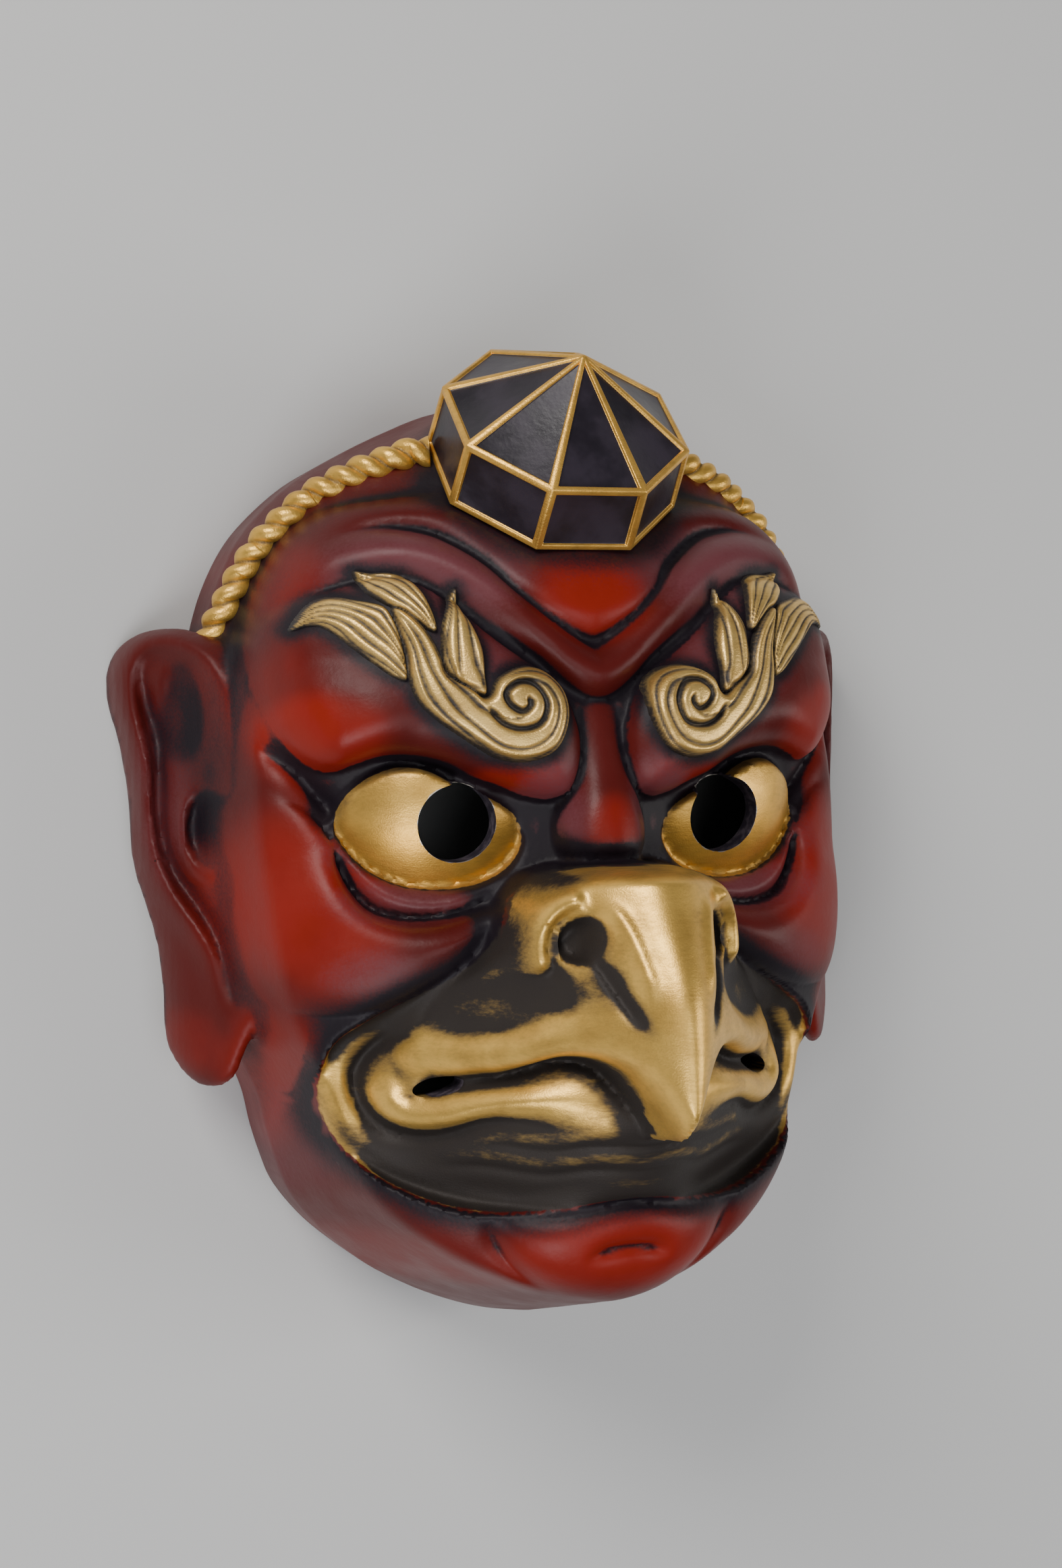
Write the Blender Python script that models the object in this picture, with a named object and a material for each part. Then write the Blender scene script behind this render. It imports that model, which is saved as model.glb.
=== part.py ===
"""A tengu mask with a crow's beak, one hollow casting lying face up on its flat rim.

+X is the wearer's left, +Y the crown and +Z the way the face looks. The carving is drawn in
millimetres on a face whose two pupils lie near y = 0; the finished mask is then moved so that the
middle of its footprint is the origin. Only the half with x >= 0 is drawn; the other mirrors it.
"""
import math

import bmesh
import bpy
import numpy as np
from mathutils import Vector

# Driving sizes, in millimetres
FACE_WIDTH = 171.2        # across the rim, without the ears
FACE_HEIGHT = 241.2       # along the rim, chin to crown
FACE_DEPTH = 135.0        # rim to the crest of the beak
WALL = 4.2                # thickness of the casting
PUPIL_BORE = 19.0         # hole through each eye
PUPIL_SPACING = 70.0
SLOT_HEIGHT = 4.4         # breathing slot at each corner of the mouth
EAR_THICKNESS = 6.7
EAR_LEAN = 1.35           # how far the ears lie back, as a slope
CAP_ACROSS = 63.2         # cap, corner to corner at the eave
CAP_WALL_HEIGHT = 17.4
CAP_ROOF_HEIGHT = 18.8
CAP_BAR = 3.8             # raised bars on the cap's edges
CAP_PANEL_DEPTH = 0.8
ROPE_DIAMETER = 8.2
VOXEL = 1.3               # step of the sampling grid
FACETS = 6900             # triangles kept for the face and ears

# The carving's own units: it is drawn on a face of these sizes, with z = 0 where the carved
# surface meets a plain upright side that runs down to the rim
DRAWN_WIDTH, DRAWN_HEIGHT, DRAWN_DEPTH = 171.2, 241.2, 135.0
DRAWN_SIDE = 20.0
SX = FACE_WIDTH/DRAWN_WIDTH
SY = FACE_HEIGHT/DRAWN_HEIGHT
SZ = FACE_DEPTH/DRAWN_DEPTH


def spline(points, steps=5, closed=False):
    """A smooth curve through the points."""
    p = np.asarray(points, float)
    if closed:
        q = np.vstack([p[-1:], p, p[:2]])
    else:
        q = np.vstack([2*p[0]-p[1], p, 2*p[-1]-p[-2]])
    t = np.linspace(0, 1, steps, endpoint=False)[:, None]
    out = []
    for a, b, c, d in zip(q, q[1:], q[2:], q[3:]):
        out.append(0.5*(2*b+(c-a)*t+(2*a-5*b+4*c-d)*t*t+(3*b-a-3*c+d)*t**3))
    out.append(p[:1] if closed else p[-1:])
    return np.vstack(out)


def curve(t, knots):
    """A smooth function of t through (t, value) knots."""
    s = spline(sorted(knots), 8)
    return np.interp(t, s[:, 0], s[:, 1])


def nearest(X, Y, path, reach=1e9):
    """Distance to a path, share of its length at the nearest point, and the side."""
    far = np.full(X.shape, 1e9)
    along = np.zeros(X.shape)
    side = np.zeros(X.shape)
    lo, hi = path.min(0)-reach, path.max(0)+reach
    near = (X >= lo[0]) & (X <= hi[0]) & (Y >= lo[1]) & (Y <= hi[1])
    if not near.any():
        return far, along, side
    x, y = X[near], Y[near]
    best, share, turn = np.full(x.shape, 1e9), np.zeros(x.shape), np.zeros(x.shape)
    step = np.hypot(*np.diff(path, axis=0).T)
    run = np.concatenate([[0], np.cumsum(step)])
    for k, (a, b) in enumerate(zip(path, path[1:])):
        dx, dy = b-a
        q = dx*dx+dy*dy
        if q < 1e-12:
            continue
        t = np.clip(((x-a[0])*dx+(y-a[1])*dy)/q, 0, 1)
        ex, ey = x-a[0]-t*dx, y-a[1]-t*dy
        e = ex*ex+ey*ey
        m = e < best
        best[m] = e[m]
        share[m] = (run[k]+t[m]*step[k])/run[-1]
        turn[m] = (dx*ey-dy*ex)[m]
    far[near], along[near], side[near] = np.sqrt(best), share, np.sign(turn)
    return far, along, side


def within(X, Y, outline, reach=3.0):
    """Depth inside a closed outline; negative outside."""
    path = spline(outline, 5, closed=True)
    d = nearest(X, Y, path, reach)[0]
    lo, hi = path.min(0), path.max(0)
    box = (X >= lo[0]) & (X <= hi[0]) & (Y >= lo[1]) & (Y <= hi[1])
    x, y = X[box], Y[box]
    odd = np.zeros(x.shape, bool)
    for (x0, y0), (x1, y1) in zip(path, path[1:]):
        if y0 != y1:
            odd ^= ((y0 > y) != (y1 > y)) & (x < (x1-x0)*(y-y0)/(y1-y0)+x0)
    inner = np.zeros(X.shape, bool)
    inner[box] = odd
    return np.where(inner, d, -d)


def smooth_min(a, b, k):
    return 0.5*(a+b-np.sqrt((a-b)**2+k*k))


def swell(s, roll):
    """Quarter-round shoulder: 0 at the edge of a mass, 1 at depth roll."""
    q = np.clip(s/roll, 0, 1)
    return np.sqrt(q*(2-q))


def taper(t, start, end):
    lo = np.clip(t/max(start, 1e-6), 0, 1)
    hi = np.clip((1-t)/max(end, 1e-6), 0, 1)
    return lo*lo*(3-2*lo)*hi*hi*(3-2*hi)


def crease(H, X, Y, path, depth, width, start=0.2, end=0.2):
    d, t, _ = nearest(X, Y, spline(path), 6*width)
    return H-depth*taper(t, start, end)*np.exp(-(np.sqrt(d*d+0.09)-0.3)/width)


def ridge(H, X, Y, path, height, width, start=0.2, end=0.2):
    d, t, _ = nearest(X, Y, spline(path), 3*width)
    return H+height*taper(t, start, end)*np.exp(-(d/width)**2)


def dome(X, Y, cx, cy, rx, ry, turn=0):
    c, s = math.cos(math.radians(turn)), math.sin(math.radians(turn))
    u = ((X-cx)*c+(Y-cy)*s)/rx
    v = ((Y-cy)*c-(X-cx)*s)/ry
    q = np.clip(1-u*u-v*v, 0, 1)
    return q*q*(3-2*q)


# Outlines of the carved masses, each on the half with x >= 0
RIM = [(0, 109), (18.3, 106.7), (32.7, 101.1), (45.2, 95), (55.8, 88.8), (64.9, 81.1),
       (71.7, 73.4), (77, 63.8), (80.8, 53.2), (83.7, 38.8), (85.1, 19.5), (85.6, 0.3),
       (84.7, -21), (82.5, -39.6), (78, -54.1), (71.8, -68), (69.3, -79), (66.8, -87.5),
       (63.8, -95), (57.2, -103.8), (49.7, -110.9), (41, -117.4), (28, -124.4), (14, -129.6),
       (0, -132.2)]
FACE = [(-20, 100), (0, 100), (16, 90), (29, 81), (44, 79), (57, 77), (66, 71), (72, 61), (76, 50),
        (79, 38), (81.5, 20), (85, 0), (92, -20), (100, -140), (-20, -140)]
BROW = [(6, 20), (6, 12), (8.5, 6), (13, 4), (19, 5), (25, 7.4), (31, 9.6), (37, 12.8),
        (44, 14.8), (51, 15.2), (57, 13.6), (62, 12.2), (67, 14), (72, 19.5), (75.5, 27),
        (77.5, 38), (76, 48), (69, 53), (60, 56), (50, 58), (42, 56.5), (34, 51), (27, 44.5),
        (20, 39), (13, 34), (8.5, 28)]
EYE = [(60.3, 1.5), (58, 7), (53.5, 10.8), (48.5, 12.8), (44, 12.6), (40, 11.4), (35.5, 8.8),
       (31.5, 7), (27, 5.2), (22, 2.2), (19, -1.5), (18.5, -6.5), (21.5, -11.5), (27, -14.8),
       (33.4, -16.3), (39, -16.5), (45, -15.7), (50, -13.8), (55, -10.5), (58.7, -6), (60.5, -2)]
NOSE = [(0, -12), (7, -12), (11, -8), (11.8, -2), (10, 4), (7.5, 11), (6, 18), (5.4, 26), (0, 29),
        (-5.4, 26), (-6, 18), (-7.5, 11), (-10, 4), (-11.8, -2), (-11, -8), (-7, -12)]
CHEEK = [(80, -38), (75, -43.5), (69, -45.5), (58.5, -45.3), (50, -42.5), (43, -39), (36, -35),
         (29, -29.5), (24, -23.5), (27, -20.5), (31, -21.2), (37, -22.8), (44, -23.4),
         (50, -22.6), (54.8, -20.3), (58.2, -15.8), (60.6, -9.8), (62, -4.5), (66, 2), (72, 6),
         (82, 8), (86, -15)]
MUZZLE = [(-20, -11), (0, -11), (10, -11.2), (19, -13), (24.5, -17.5), (27.5, -23), (30, -29.5),
          (36, -35.6), (46, -41.4), (55, -46.5), (61.5, -51.2), (64.6, -57), (65, -64.5),
          (63.2, -72.5), (59.3, -79.6), (52.7, -85.6), (44.4, -90), (35.9, -92.6), (27.5, -93.4),
          (16.6, -92.6), (8, -91), (0, -90.5), (-20, -90)]
BEAK = [(-6, -68), (0, -74.5), (2.4, -70.6), (5.2, -65.8), (8, -61.4), (11, -57.9), (15, -55.8),
        (20, -55.6), (24.5, -57.4), (29.5, -59.6), (36, -61.2), (41, -62.6), (46.6, -64),
        (51, -62), (52, -57), (49.5, -51.5), (45, -48.5), (40, -41), (33, -34), (29.5, -29.5),
        (27.5, -23), (24.5, -17.5), (19, -13), (10, -11.2), (0, -11), (-15, -11), (-30, -30),
        (-15, -60)]
MOUTH = [(46.6, -64.5), (41, -62.6), (36, -61.2), (29.5, -59.6), (24.5, -57.4), (20, -55.6),
         (15, -55.8), (11, -57.9), (8, -61.4), (5.2, -65.8), (2.4, -70.6), (0, -74.5)]
LEAVES = [
    [(70.6, 46.3), (67.2, 51.3), (63.8, 53.5), (60.4, 53.7), (56.4, 52.6), (51.4, 51),
     (49.5, 47.5), (48, 42), (47.4, 37), (47.6, 33.2), (50.4, 34.1), (54.2, 37.3), (58.4, 41.1),
     (62.1, 44.8), (65, 46.8), (67.4, 47)],
    [(55.6, 60), (51.9, 59.4), (47.7, 59.3), (44.4, 58), (42.2, 54.7), (41, 50.6), (40.2, 45),
     (41.8, 44.6), (44.4, 47.1), (47.4, 49.7), (49.6, 50.6), (51.7, 52), (54.2, 54.5),
     (55, 57.3)],
    [(33.6, 55.2), (36.3, 51.2), (38.6, 46.4), (39.3, 42.3), (39.3, 37), (37, 33), (30.7, 29),
     (30.3, 34.5), (30.1, 39.6), (30.7, 43.3), (31.9, 47), (33.1, 49.8)],
    [(49.7, 50.1), (48.9, 46), (47.4, 40), (47, 34), (45.6, 28.4), (41.6, 23.8), (36.9, 20.2),
     (32.5, 17.1), (28.1, 14.4), (23.3, 13.3), (18.1, 13.9), (13.9, 16.5), (11.2, 21.5),
     (10.2, 26.6), (11, 31.5), (14.5, 34.8), (19.5, 35.9), (24.4, 34.7), (27.8, 32.4),
     (29.2, 29.5), (31, 28.5), (33.5, 30.5), (38.7, 34.2), (39.8, 38.3), (41.4, 42.4),
     (43.6, 46), (47, 49.5)]]
EAR = [(77.5, 39.4), (80.1, 45.6), (85.5, 49.2), (90.9, 50.5), (96.4, 49.6), (101, 46),
       (103.4, 39.8), (103.3, 32), (101.3, 22.6), (99.6, 8), (99, -8.6), (96.8, -18.9),
       (94.8, -28.2), (93.6, -39.5), (93.4, -52.9), (91.3, -59.9), (87.7, -64.8), (83.7, -65.7),
       (80.1, -63.1), (77.9, -56.8), (74, -40.4), (73.1, 0), (74, 30.2)]


def rim_depth(X, Y):
    """Distance inside the rim; negative outside."""
    d, _, side = nearest(X, Y, spline(RIM))
    return np.where(side < 0, d, -d)


def bare_head(X, Y):
    """Smooth form under the carving, scalp behind and face in front."""
    crown = curve(Y, [(120, 5), (113, 13), (108, 22), (100, 32), (92, 39), (84, 45), (76, 50.5),
                      (68, 56.5), (60, 60), (50, 62), (40, 63), (30, 64.5), (20, 65), (0, 65),
                      (-15, 66), (-30, 66), (-45, 65), (-60, 67), (-75, 70), (-85, 71),
                      (-95, 70.5), (-103, 69), (-110, 66), (-118, 61), (-124, 53), (-128, 45),
                      (-132, 34), (-140, 10)])
    half = curve(Y, [(122, 4), (113, 10), (110.6, 22), (104.8, 36), (98.4, 49), (92, 60),
                     (84, 69.5), (76, 76.5), (66, 82), (55, 86), (40, 89), (20, 90.5), (0, 91),
                     (-20, 91), (-38, 89.5), (-52, 86), (-66, 80.5), (-79, 76), (-91.5, 71),
                     (-101, 66), (-110, 59), (-117, 51), (-122.5, 43), (-126, 37), (-130, 29),
                     (-134, 21), (-140, 10)])
    slack = curve(Y, [(120, .5), (100, .5), (87, .6), (81, .73), (70, 1), (60, 1.15), (50, 1.1),
                      (40, .9), (20, .6), (0, .5), (-140, .5)])
    u = np.clip(1-(X/half)**2, 0, 1)
    scalp, front = crown*u**slack, crown*np.sqrt(u)
    H = scalp+(front-scalp)*swell(within(X, Y, FACE, 12), 10)
    edge = rim_depth(X, Y)
    return np.where(edge > 25, H, smooth_min(H, 4.2*edge, 2.5))


def brow_and_eyes(H, bare, X, Y):
    eye_x = X-(PUPIL_SPACING/SX/2-35)    # the eyes and lids keep to the bored pupils
    H = H-6.5*dome(eye_x, Y, 39, -5, 42, 33)
    H = H+2*dome(X, Y, 0, 55, 24, 17)-4*dome(X, Y, 0, 82, 52, 34)
    H = ridge(H, X, Y, [(-7, 36.5), (0, 34.5), (9, 39.5), (17.5, 47), (24.5, 55), (32, 61),
                        (41, 64.8), (51, 65.2), (61, 62), (69, 55), (74, 44)], 4.2, 6, 0, .25)
    H = ridge(H, X, Y, [(20, 66), (30, 73.5), (44, 75.5), (57, 74), (66, 67), (72, 58)],
              2.4, 4.5, .3, .3)
    H = crease(H, X, Y, [(-6, 43.5), (0, 41.8), (9.4, 47), (18, 54.4), (23.5, 61), (30.5, 66.6),
                         (36.5, 69.8), (44.5, 71.2), (52, 70.6), (59, 68.2), (64.5, 64)],
               4.2, 2, 0, .35)
    mass = bare+8+2*dome(X, Y, 62, 24, 18, 16)
    H = H+(mass-H)*swell(within(X, Y, BROW), 11)
    H = crease(H, X, Y, [(-5, 29), (0, 27.6), (5, 29), (10.5, 33), (15, 37.5), (22, 43.5),
                         (29, 50)], 3, 1.6, 0, .5)
    bridge = curve(Y, [(30, 63), (22, 65.5), (12, 68.5), (4, 72), (-2, 73.5), (-8, 74),
                       (-13, 73)])-0.055*X**2
    H = H+(bridge-H)*swell(within(X, Y, NOSE), 6)
    H = crease(H, X, Y, [(60, 2.5), (64, 7), (68, 12), (73, 17), (79, 22)], 5, 2.4, 0, .3)
    H = H+(bare+.5+4*dome(X, Y, 58, -30, 34, 26)-H)*swell(within(X, Y, CHEEK), 9)
    H = crease(H, eye_x, Y, [(61.4, -5), (60, -10), (57.7, -15.8), (54.2, -20.4), (49.6, -22.5),
                         (43.7, -23.2), (36.6, -22.6), (31, -21), (26, -19.8), (21, -19)],
               2.2, 1.3, .1, .2)
    H = ridge(H, eye_x, Y, [(61, -1), (59, -8), (55, -14), (49, -18.3), (42, -20.2), (35, -20),
                        (28, -18), (22, -15)], 2.2, 2.6, .1, .3)
    ball = 27.3+np.sqrt(np.clip(33.5**2-(eye_x-31.3)**2-(Y-7)**2, 0, None))
    f = np.clip(within(eye_x, Y, EYE)/.9+.5, 0, 1)
    return H+(ball-H)*f*f*(3-2*f)


def beak_and_mouth(H, X, Y):
    # the lower beak and both lips
    low = curve(Y, [(-8, 80), (-40, 88), (-60, 90), (-68, 90.5), (-75, 88), (-82, 83),
                    (-88, 77.5), (-93, 73)])-1.22*(np.sqrt(X*X+400)-20)
    H = H+(low-H)*swell(within(X, Y, MUZZLE), 7)*np.clip((-Y-14)/16, 0, 1)
    # the upper beak: a crest with falling sides
    crest = curve(Y, [(-5, 96), (-13, 102), (-22, 106), (-31, 110.5), (-40, 114), (-50, 115.2),
                      (-60, 115.3), (-66, 115.1), (-74, 114.4), (-80, 113)])
    fall = curve(Y, [(-5, 1.5), (-20, 1.55), (-35, 1.7), (-50, 1.5), (-75, 1.5)])
    round_ = curve(Y, [(-5, 12), (-20, 12), (-35, 8), (-50, 5), (-60, 3.5), (-75, 3)])
    upper = np.maximum(crest-fall*(np.sqrt(X*X+round_**2)-round_), H)
    s = within(X, Y, BEAK)
    H = np.where(s > 0, H+(upper-H)*swell(s, 4.5), H)
    H = ridge(H, X, Y, [(50, -57), (45, -55.5), (38, -55.5), (30, -54), (23, -51), (16, -49.5),
                        (9, -51)], 3.6, 4.2, .1, .5)
    H = H-3.5*dome(X, Y, 30, -43, 17, 8, -25)
    # nostrils, each with its wing and a slit running down
    H = ridge(H, X, Y, [(15.5, -17), (20.6, -19), (24, -23), (25.4, -28), (24.8, -33),
                        (22.5, -37.5)], 4.4, 2.7, .15, .25)
    H = crease(H, X, Y, [(20.5, -37.5), (21.8, -32), (21.4, -26.5), (19, -22.4), (15.5, -21)],
               2.2, 1.2, .1, .3)
    H = ridge(H, X, Y, [(14, -17.5), (10.6, -24), (8.6, -33), (7, -43)], 2, 1.8, .2, .3)
    H = H-8.5*dome(X, Y, 16.6, -27.8, 3.8, 6, 18)
    H = crease(H, X, Y, [(16, -30), (13.8, -34.5), (11.8, -39.5), (9.5, -44.6), (7.8, -48)],
               4, 1.2, .02, .25)
    # lower lip, outer lip and the creases between
    H = ridge(H, X, Y, [(48, -60.5), (51.5, -65.5), (48.5, -69.8), (42, -69.6), (34, -66.5),
                        (26, -65), (18, -64.5), (10, -66)], 3.4, 3.4, .15, .4)
    H = ridge(H, X, Y, [(50, -47.5), (56.5, -51.5), (60.8, -58), (61, -65), (58.5, -72.5),
                        (53.5, -79), (46, -84), (36, -87), (24, -87.5)], 3, 3.6, .15, .5)
    H = crease(H, X, Y, [(44, -50.2), (49, -51.6), (53.3, -55), (55.9, -59.8), (56.3, -64.6),
                         (54.2, -70), (50.3, -73.8), (44.7, -75.6), (38.6, -74.4),
                         (32.9, -71.4), (27.2, -71), (20, -72), (10, -71.5)], 4, 1.7, .1, .4)
    H = crease(H, X, Y, MOUTH, 5, 1.6, .1, .35)
    H = crease(H, X, Y, [(40, -78), (30, -76.5), (20, -77.5), (10, -76), (-9, -77)],
               1.6, 1.2, .3, 0)
    H = crease(H, X, Y, [(44, -83), (32, -82), (20, -83.5), (10, -82), (-9, -83)],
               1.3, 1.1, .3, 0)
    # chin
    H = H+6*dome(X, Y, 0, -103, 33, 20)
    H = crease(H, X, Y, [(33, -93), (29.5, -100), (26, -105.5), (20.5, -110.5), (14, -114.5),
                         (7, -117), (0, -118), (-8, -117)], 3, 1.8, .2, 0)
    H = crease(H, X, Y, [(-6, -102.6), (0, -101.8), (6, -102.6), (12, -105.2)], 2.8, 1.5, 0, .4)
    return crease(H, X, Y, [(-10, -91.5), (0, -91), (10, -92.8), (20, -94), (33, -94)],
                  1.5, 1.5, 0, .3)


def eyebrow(X, Y):
    """Height of the flame-shaped eyebrow over the brow."""
    h = np.zeros(X.shape)
    for leaf, height in zip(LEAVES, (2.6, 2.8, 3.0, 3.4)):
        h = np.maximum(h, height*swell(within(X, Y, leaf), 2.2))
    coil = [(31, 27), (27.5, 22.6), (23, 21), (18.5, 22.3), (16.8, 27), (19, 31.2), (23, 32),
            (26.3, 29.5), (25.4, 26.6)]
    return np.where(h > 0, crease(h, X, Y, coil, 1.6, 1.1, .1, .1), h)


def face_height(X, Y):
    """Outer surface of the face over the rim, at drawn coordinates, X >= 0."""
    bare = bare_head(X, Y)
    H = brow_and_eyes(bare, bare, X, Y)
    H = beak_and_mouth(H, X, Y)
    return H+eyebrow(X, Y)


def ear_faces(X, Y):
    """Front and back surface of the ear, and the depth inside its outline."""
    s = within(X, Y, EAR)
    T = EAR_THICKNESS/2*math.hypot(1, EAR_LEAN)
    mid = 11-EAR_LEAN*(X-80)
    front = mid+T*swell(s, 4.5)
    front = ridge(front, X, Y, [(80.9, 2.3), (80.6, 11), (80.9, 22.2), (82.1, 34.4),
                                (85.6, 42.2), (90.5, 46.3), (95.5, 46.8), (99.2, 43.8),
                                (100.7, 37.1), (99.6, 26.7), (97.4, 14.2), (96.9, 1.8),
                                (95.6, -8.5), (92.4, -17.7), (87.9, -25.8), (84.3, -33.8),
                                (82.6, -43.9), (82.5, -52)], 5, 2.7, .05, .2)
    front = crease(front, X, Y, [(93.7, 42), (96.1, 38.7), (95.2, 31.7), (93.6, 22.7),
                                 (93.2, 14.9), (93.6, 4.9), (92.8, -4.4), (90.3, -12.5),
                                 (86.1, -20.6), (82.6, -28.6), (80.3, -38.7), (79, -50.7)],
                   5.8, 1.8, .15, .15)
    front = ridge(front, X, Y, [(87.9, 10.9), (89.8, 3), (89.6, -5.6), (86.8, -12.7),
                                (82.4, -11.3)], 3.1, 1.5, .2, .2)
    front = front-4.3*dome(X, Y, 88.8, 27.5, 5.5, 16)-6.2*dome(X, Y, 84.7, -.7, 5, 11)
    return front, mid-T*swell(s, 4.5), s


def surface_nets(F, origin, step):
    """Closed quads round the region where the sampled field F is negative."""
    inside = F < 0
    nx, ny, nz = (n-1 for n in F.shape)
    corner = [(i, j, k) for i in (0, 1) for j in (0, 1) for k in (0, 1)]
    count = sum(inside[i:i+nx, j:j+ny, k:k+nz].astype(np.int8) for i, j, k in corner)
    cells = np.argwhere((count > 0) & (count < 8))
    number = np.full((nx, ny, nz), -1)
    number[tuple(cells.T)] = np.arange(len(cells))
    total = np.zeros((len(cells), 3))
    hits = np.zeros(len(cells))
    for a in corner:
        for axis in range(3):
            if a[axis]:
                continue
            b = tuple(v+(n == axis) for n, v in enumerate(a))
            fa = F[tuple((cells+a).T)]
            fb = F[tuple((cells+b).T)]
            cut = (fa < 0) != (fb < 0)
            t = np.where(cut, fa/np.where(cut, fa-fb, 1), 0)
            spot = np.array(a, float)[None, :]+t[:, None]*np.eye(3)[axis]
            total += spot*cut[:, None]
            hits += cut
    points = origin+(cells+total/hits[:, None])*step
    quads = []
    for axis in range(3):
        u, v = (axis+1) % 3, (axis+2) % 3
        lo = [slice(None)]*3
        hi = [slice(None)]*3
        lo[axis], hi[axis] = slice(None, -1), slice(1, None)
        a, b = inside[tuple(lo)], inside[tuple(hi)]
        edges = np.argwhere(a != b)
        keep = (edges[:, u] > 0) & (edges[:, v] > 0)
        keep &= (edges[:, u] < F.shape[u]-1) & (edges[:, v] < F.shape[v]-1)
        edges = edges[keep]
        du, dv = np.eye(3, dtype=int)[u], np.eye(3, dtype=int)[v]
        ring = [number[tuple((edges-o).T)] for o in (du+dv, dv, 0*du, du)]
        quad = np.stack(ring, 1)
        outward = a[tuple(edges.T)]
        quads.append(np.where(outward[:, None], quad, quad[:, ::-1]))
    return points, np.vstack(quads)


def fill_checkers(F, step):
    """Fills corners that touch only along a grid edge, where a surface would cross itself."""
    for _ in range(12):
        found = 0
        for u, v in ((0, 1), (0, 2), (1, 2)):
            views = []
            for i, j in ((0, 0), (1, 0), (0, 1), (1, 1)):
                cut = [slice(None)]*3
                cut[u] = slice(1, None) if i else slice(None, -1)
                cut[v] = slice(1, None) if j else slice(None, -1)
                views.append(F[tuple(cut)])
            a, b, c, d = (w < 0 for w in views)
            mixed = (a == d) & (b == c) & (a != b)
            found += int(mixed.sum())
            for w in views:
                w[mixed & (w >= 0)] = -0.05*step
        if not found:
            return


def widest(field, reach, step):
    """Smallest value of a height map within a ball of the given reach, less the ball."""
    n = int(math.ceil(reach/step))
    padded = np.pad(field, n, mode="edge")
    out = np.full(field.shape, 1e9)
    for i in range(-n, n+1):
        for j in range(-n, n+1):
            r2 = (i*i+j*j)*step*step
            if r2 <= reach*reach:
                part = padded[n+i:n+i+field.shape[0], n+j:n+j+field.shape[1]]
                out = np.minimum(out, part-math.sqrt(reach*reach-r2))
    return out


def blurred(field, sigma):
    """Gaussian blur of a height map, sigma in grid steps."""
    n = int(3*sigma)
    weights = np.exp(-0.5*(np.arange(-n, n+1)/sigma)**2)
    weights /= weights.sum()
    for axis in (0, 1):
        pad = [(n, n) if a == axis else (0, 0) for a in (0, 1)]
        p = np.pad(field, pad, mode="edge")
        size = field.shape[axis]
        field = sum(w*np.take(p, range(k, k+size), axis) for k, w in enumerate(weights))
    return field


def shell_field(step):
    """Sampled field, negative in the material of the face and ears."""
    reach_x, low_y, high_y = 112*SX, -144*SY, 120*SY
    nx = int(reach_x/step)
    x = np.arange(-nx, nx+1)*step
    y = np.arange(int(low_y/step), int(high_y/step)+1)*step
    z = np.arange(-int(DRAWN_SIDE*SZ/step)-4, int(122*SZ/step)+1)*step
    X, Y = np.meshgrid(x[nx:]/SX, y/SY, indexing="ij")
    half = face_height(X, Y)*SZ
    edge = rim_depth(X, Y)*min(SX, SY)
    front, back, s = ear_faces(X, Y)
    outer, edge, front, back, s = (np.vstack([a[:0:-1], a])
                                   for a in (half, edge, front*SZ, back*SZ, s))
    floor = widest(outer, WALL, step)
    inner = np.minimum(blurred(widest(outer, WALL+.8, step), 2.4/step), floor)

    def steep(h):
        gx, gy = np.gradient(h, step)
        return np.sqrt(1+gx*gx+gy*gy)[..., None]
    F = np.maximum((z-outer[..., None])/steep(outer), -edge[..., None])
    ear = np.maximum(z-front[..., None], back[..., None]-z)/math.hypot(1, EAR_LEAN)
    ear = np.maximum(ear, -s[..., None])
    F = smooth_min(F, ear, 1.5)
    hollow = np.maximum((z-inner[..., None])/steep(inner), (WALL-edge)[..., None])
    F = np.maximum(F, -hollow)
    for axis in range(3):
        last = F.shape[axis]-1
        index = np.arange(last+1)
        before, after = np.maximum(index-1, 0), np.minimum(index+1, last)
        F = 0.5*F+0.25*(np.take(F, before, axis)+np.take(F, after, axis))
    F[:, :, 0] = step
    fill_checkers(F, step)
    return F, np.array([x[0], y[0], z[0]])


def solid(name, points, faces, material=None):
    mesh = bpy.data.meshes.new(name)
    mesh.from_pydata([tuple(p*0.001) for p in np.asarray(points, float)], [], faces)
    bm = bmesh.new()
    bm.from_mesh(mesh)
    bmesh.ops.recalc_face_normals(bm, faces=bm.faces)
    bm.to_mesh(mesh)
    bm.free()
    piece = bpy.data.objects.new(name, mesh)
    bpy.context.collection.objects.link(piece)
    if material:
        mesh.materials.append(material)
    return piece


def surface_at(x, y):
    """Outer height at a point of the finished mask, without the ears."""
    return float(face_height(np.array([abs(x)/SX]), np.array([y/SY]))[0])*SZ


# The cap sits on the crown, its axis leaning forward by half a right angle
CAP_CENTRE = Vector((0, 97.8*SY, 48.5*SZ))
CAP_AXIS = Vector((0, 1, 1)).normalized()
CAP_FRONT = Vector((0, -1, 1)).normalized()


def cap_point(radius, turn, height):
    """Point at a radius and turn about the cap's axis, above its eave."""
    side = Vector((1, 0, 0))
    spoke = side*math.sin(turn)+CAP_FRONT*math.cos(turn)
    return CAP_CENTRE+spoke*radius+CAP_AXIS*height


def cap_body(radius, eave, roof, bottom, flare):
    """Octagonal prism under an eight-sided roof."""
    turns = [math.radians(22.5+45*k) for k in range(8)]
    points = [cap_point(radius+flare, t, bottom) for t in turns]
    points += [cap_point(radius, t, eave) for t in turns]
    points += [cap_point(0, 0, roof), cap_point(0, 0, bottom)]
    faces = []
    for k in range(8):
        n = (k+1) % 8
        faces += [(k, n, 8+n, 8+k), (8+k, 8+n, 16), (n, k, 17)]
    return points, faces


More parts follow.
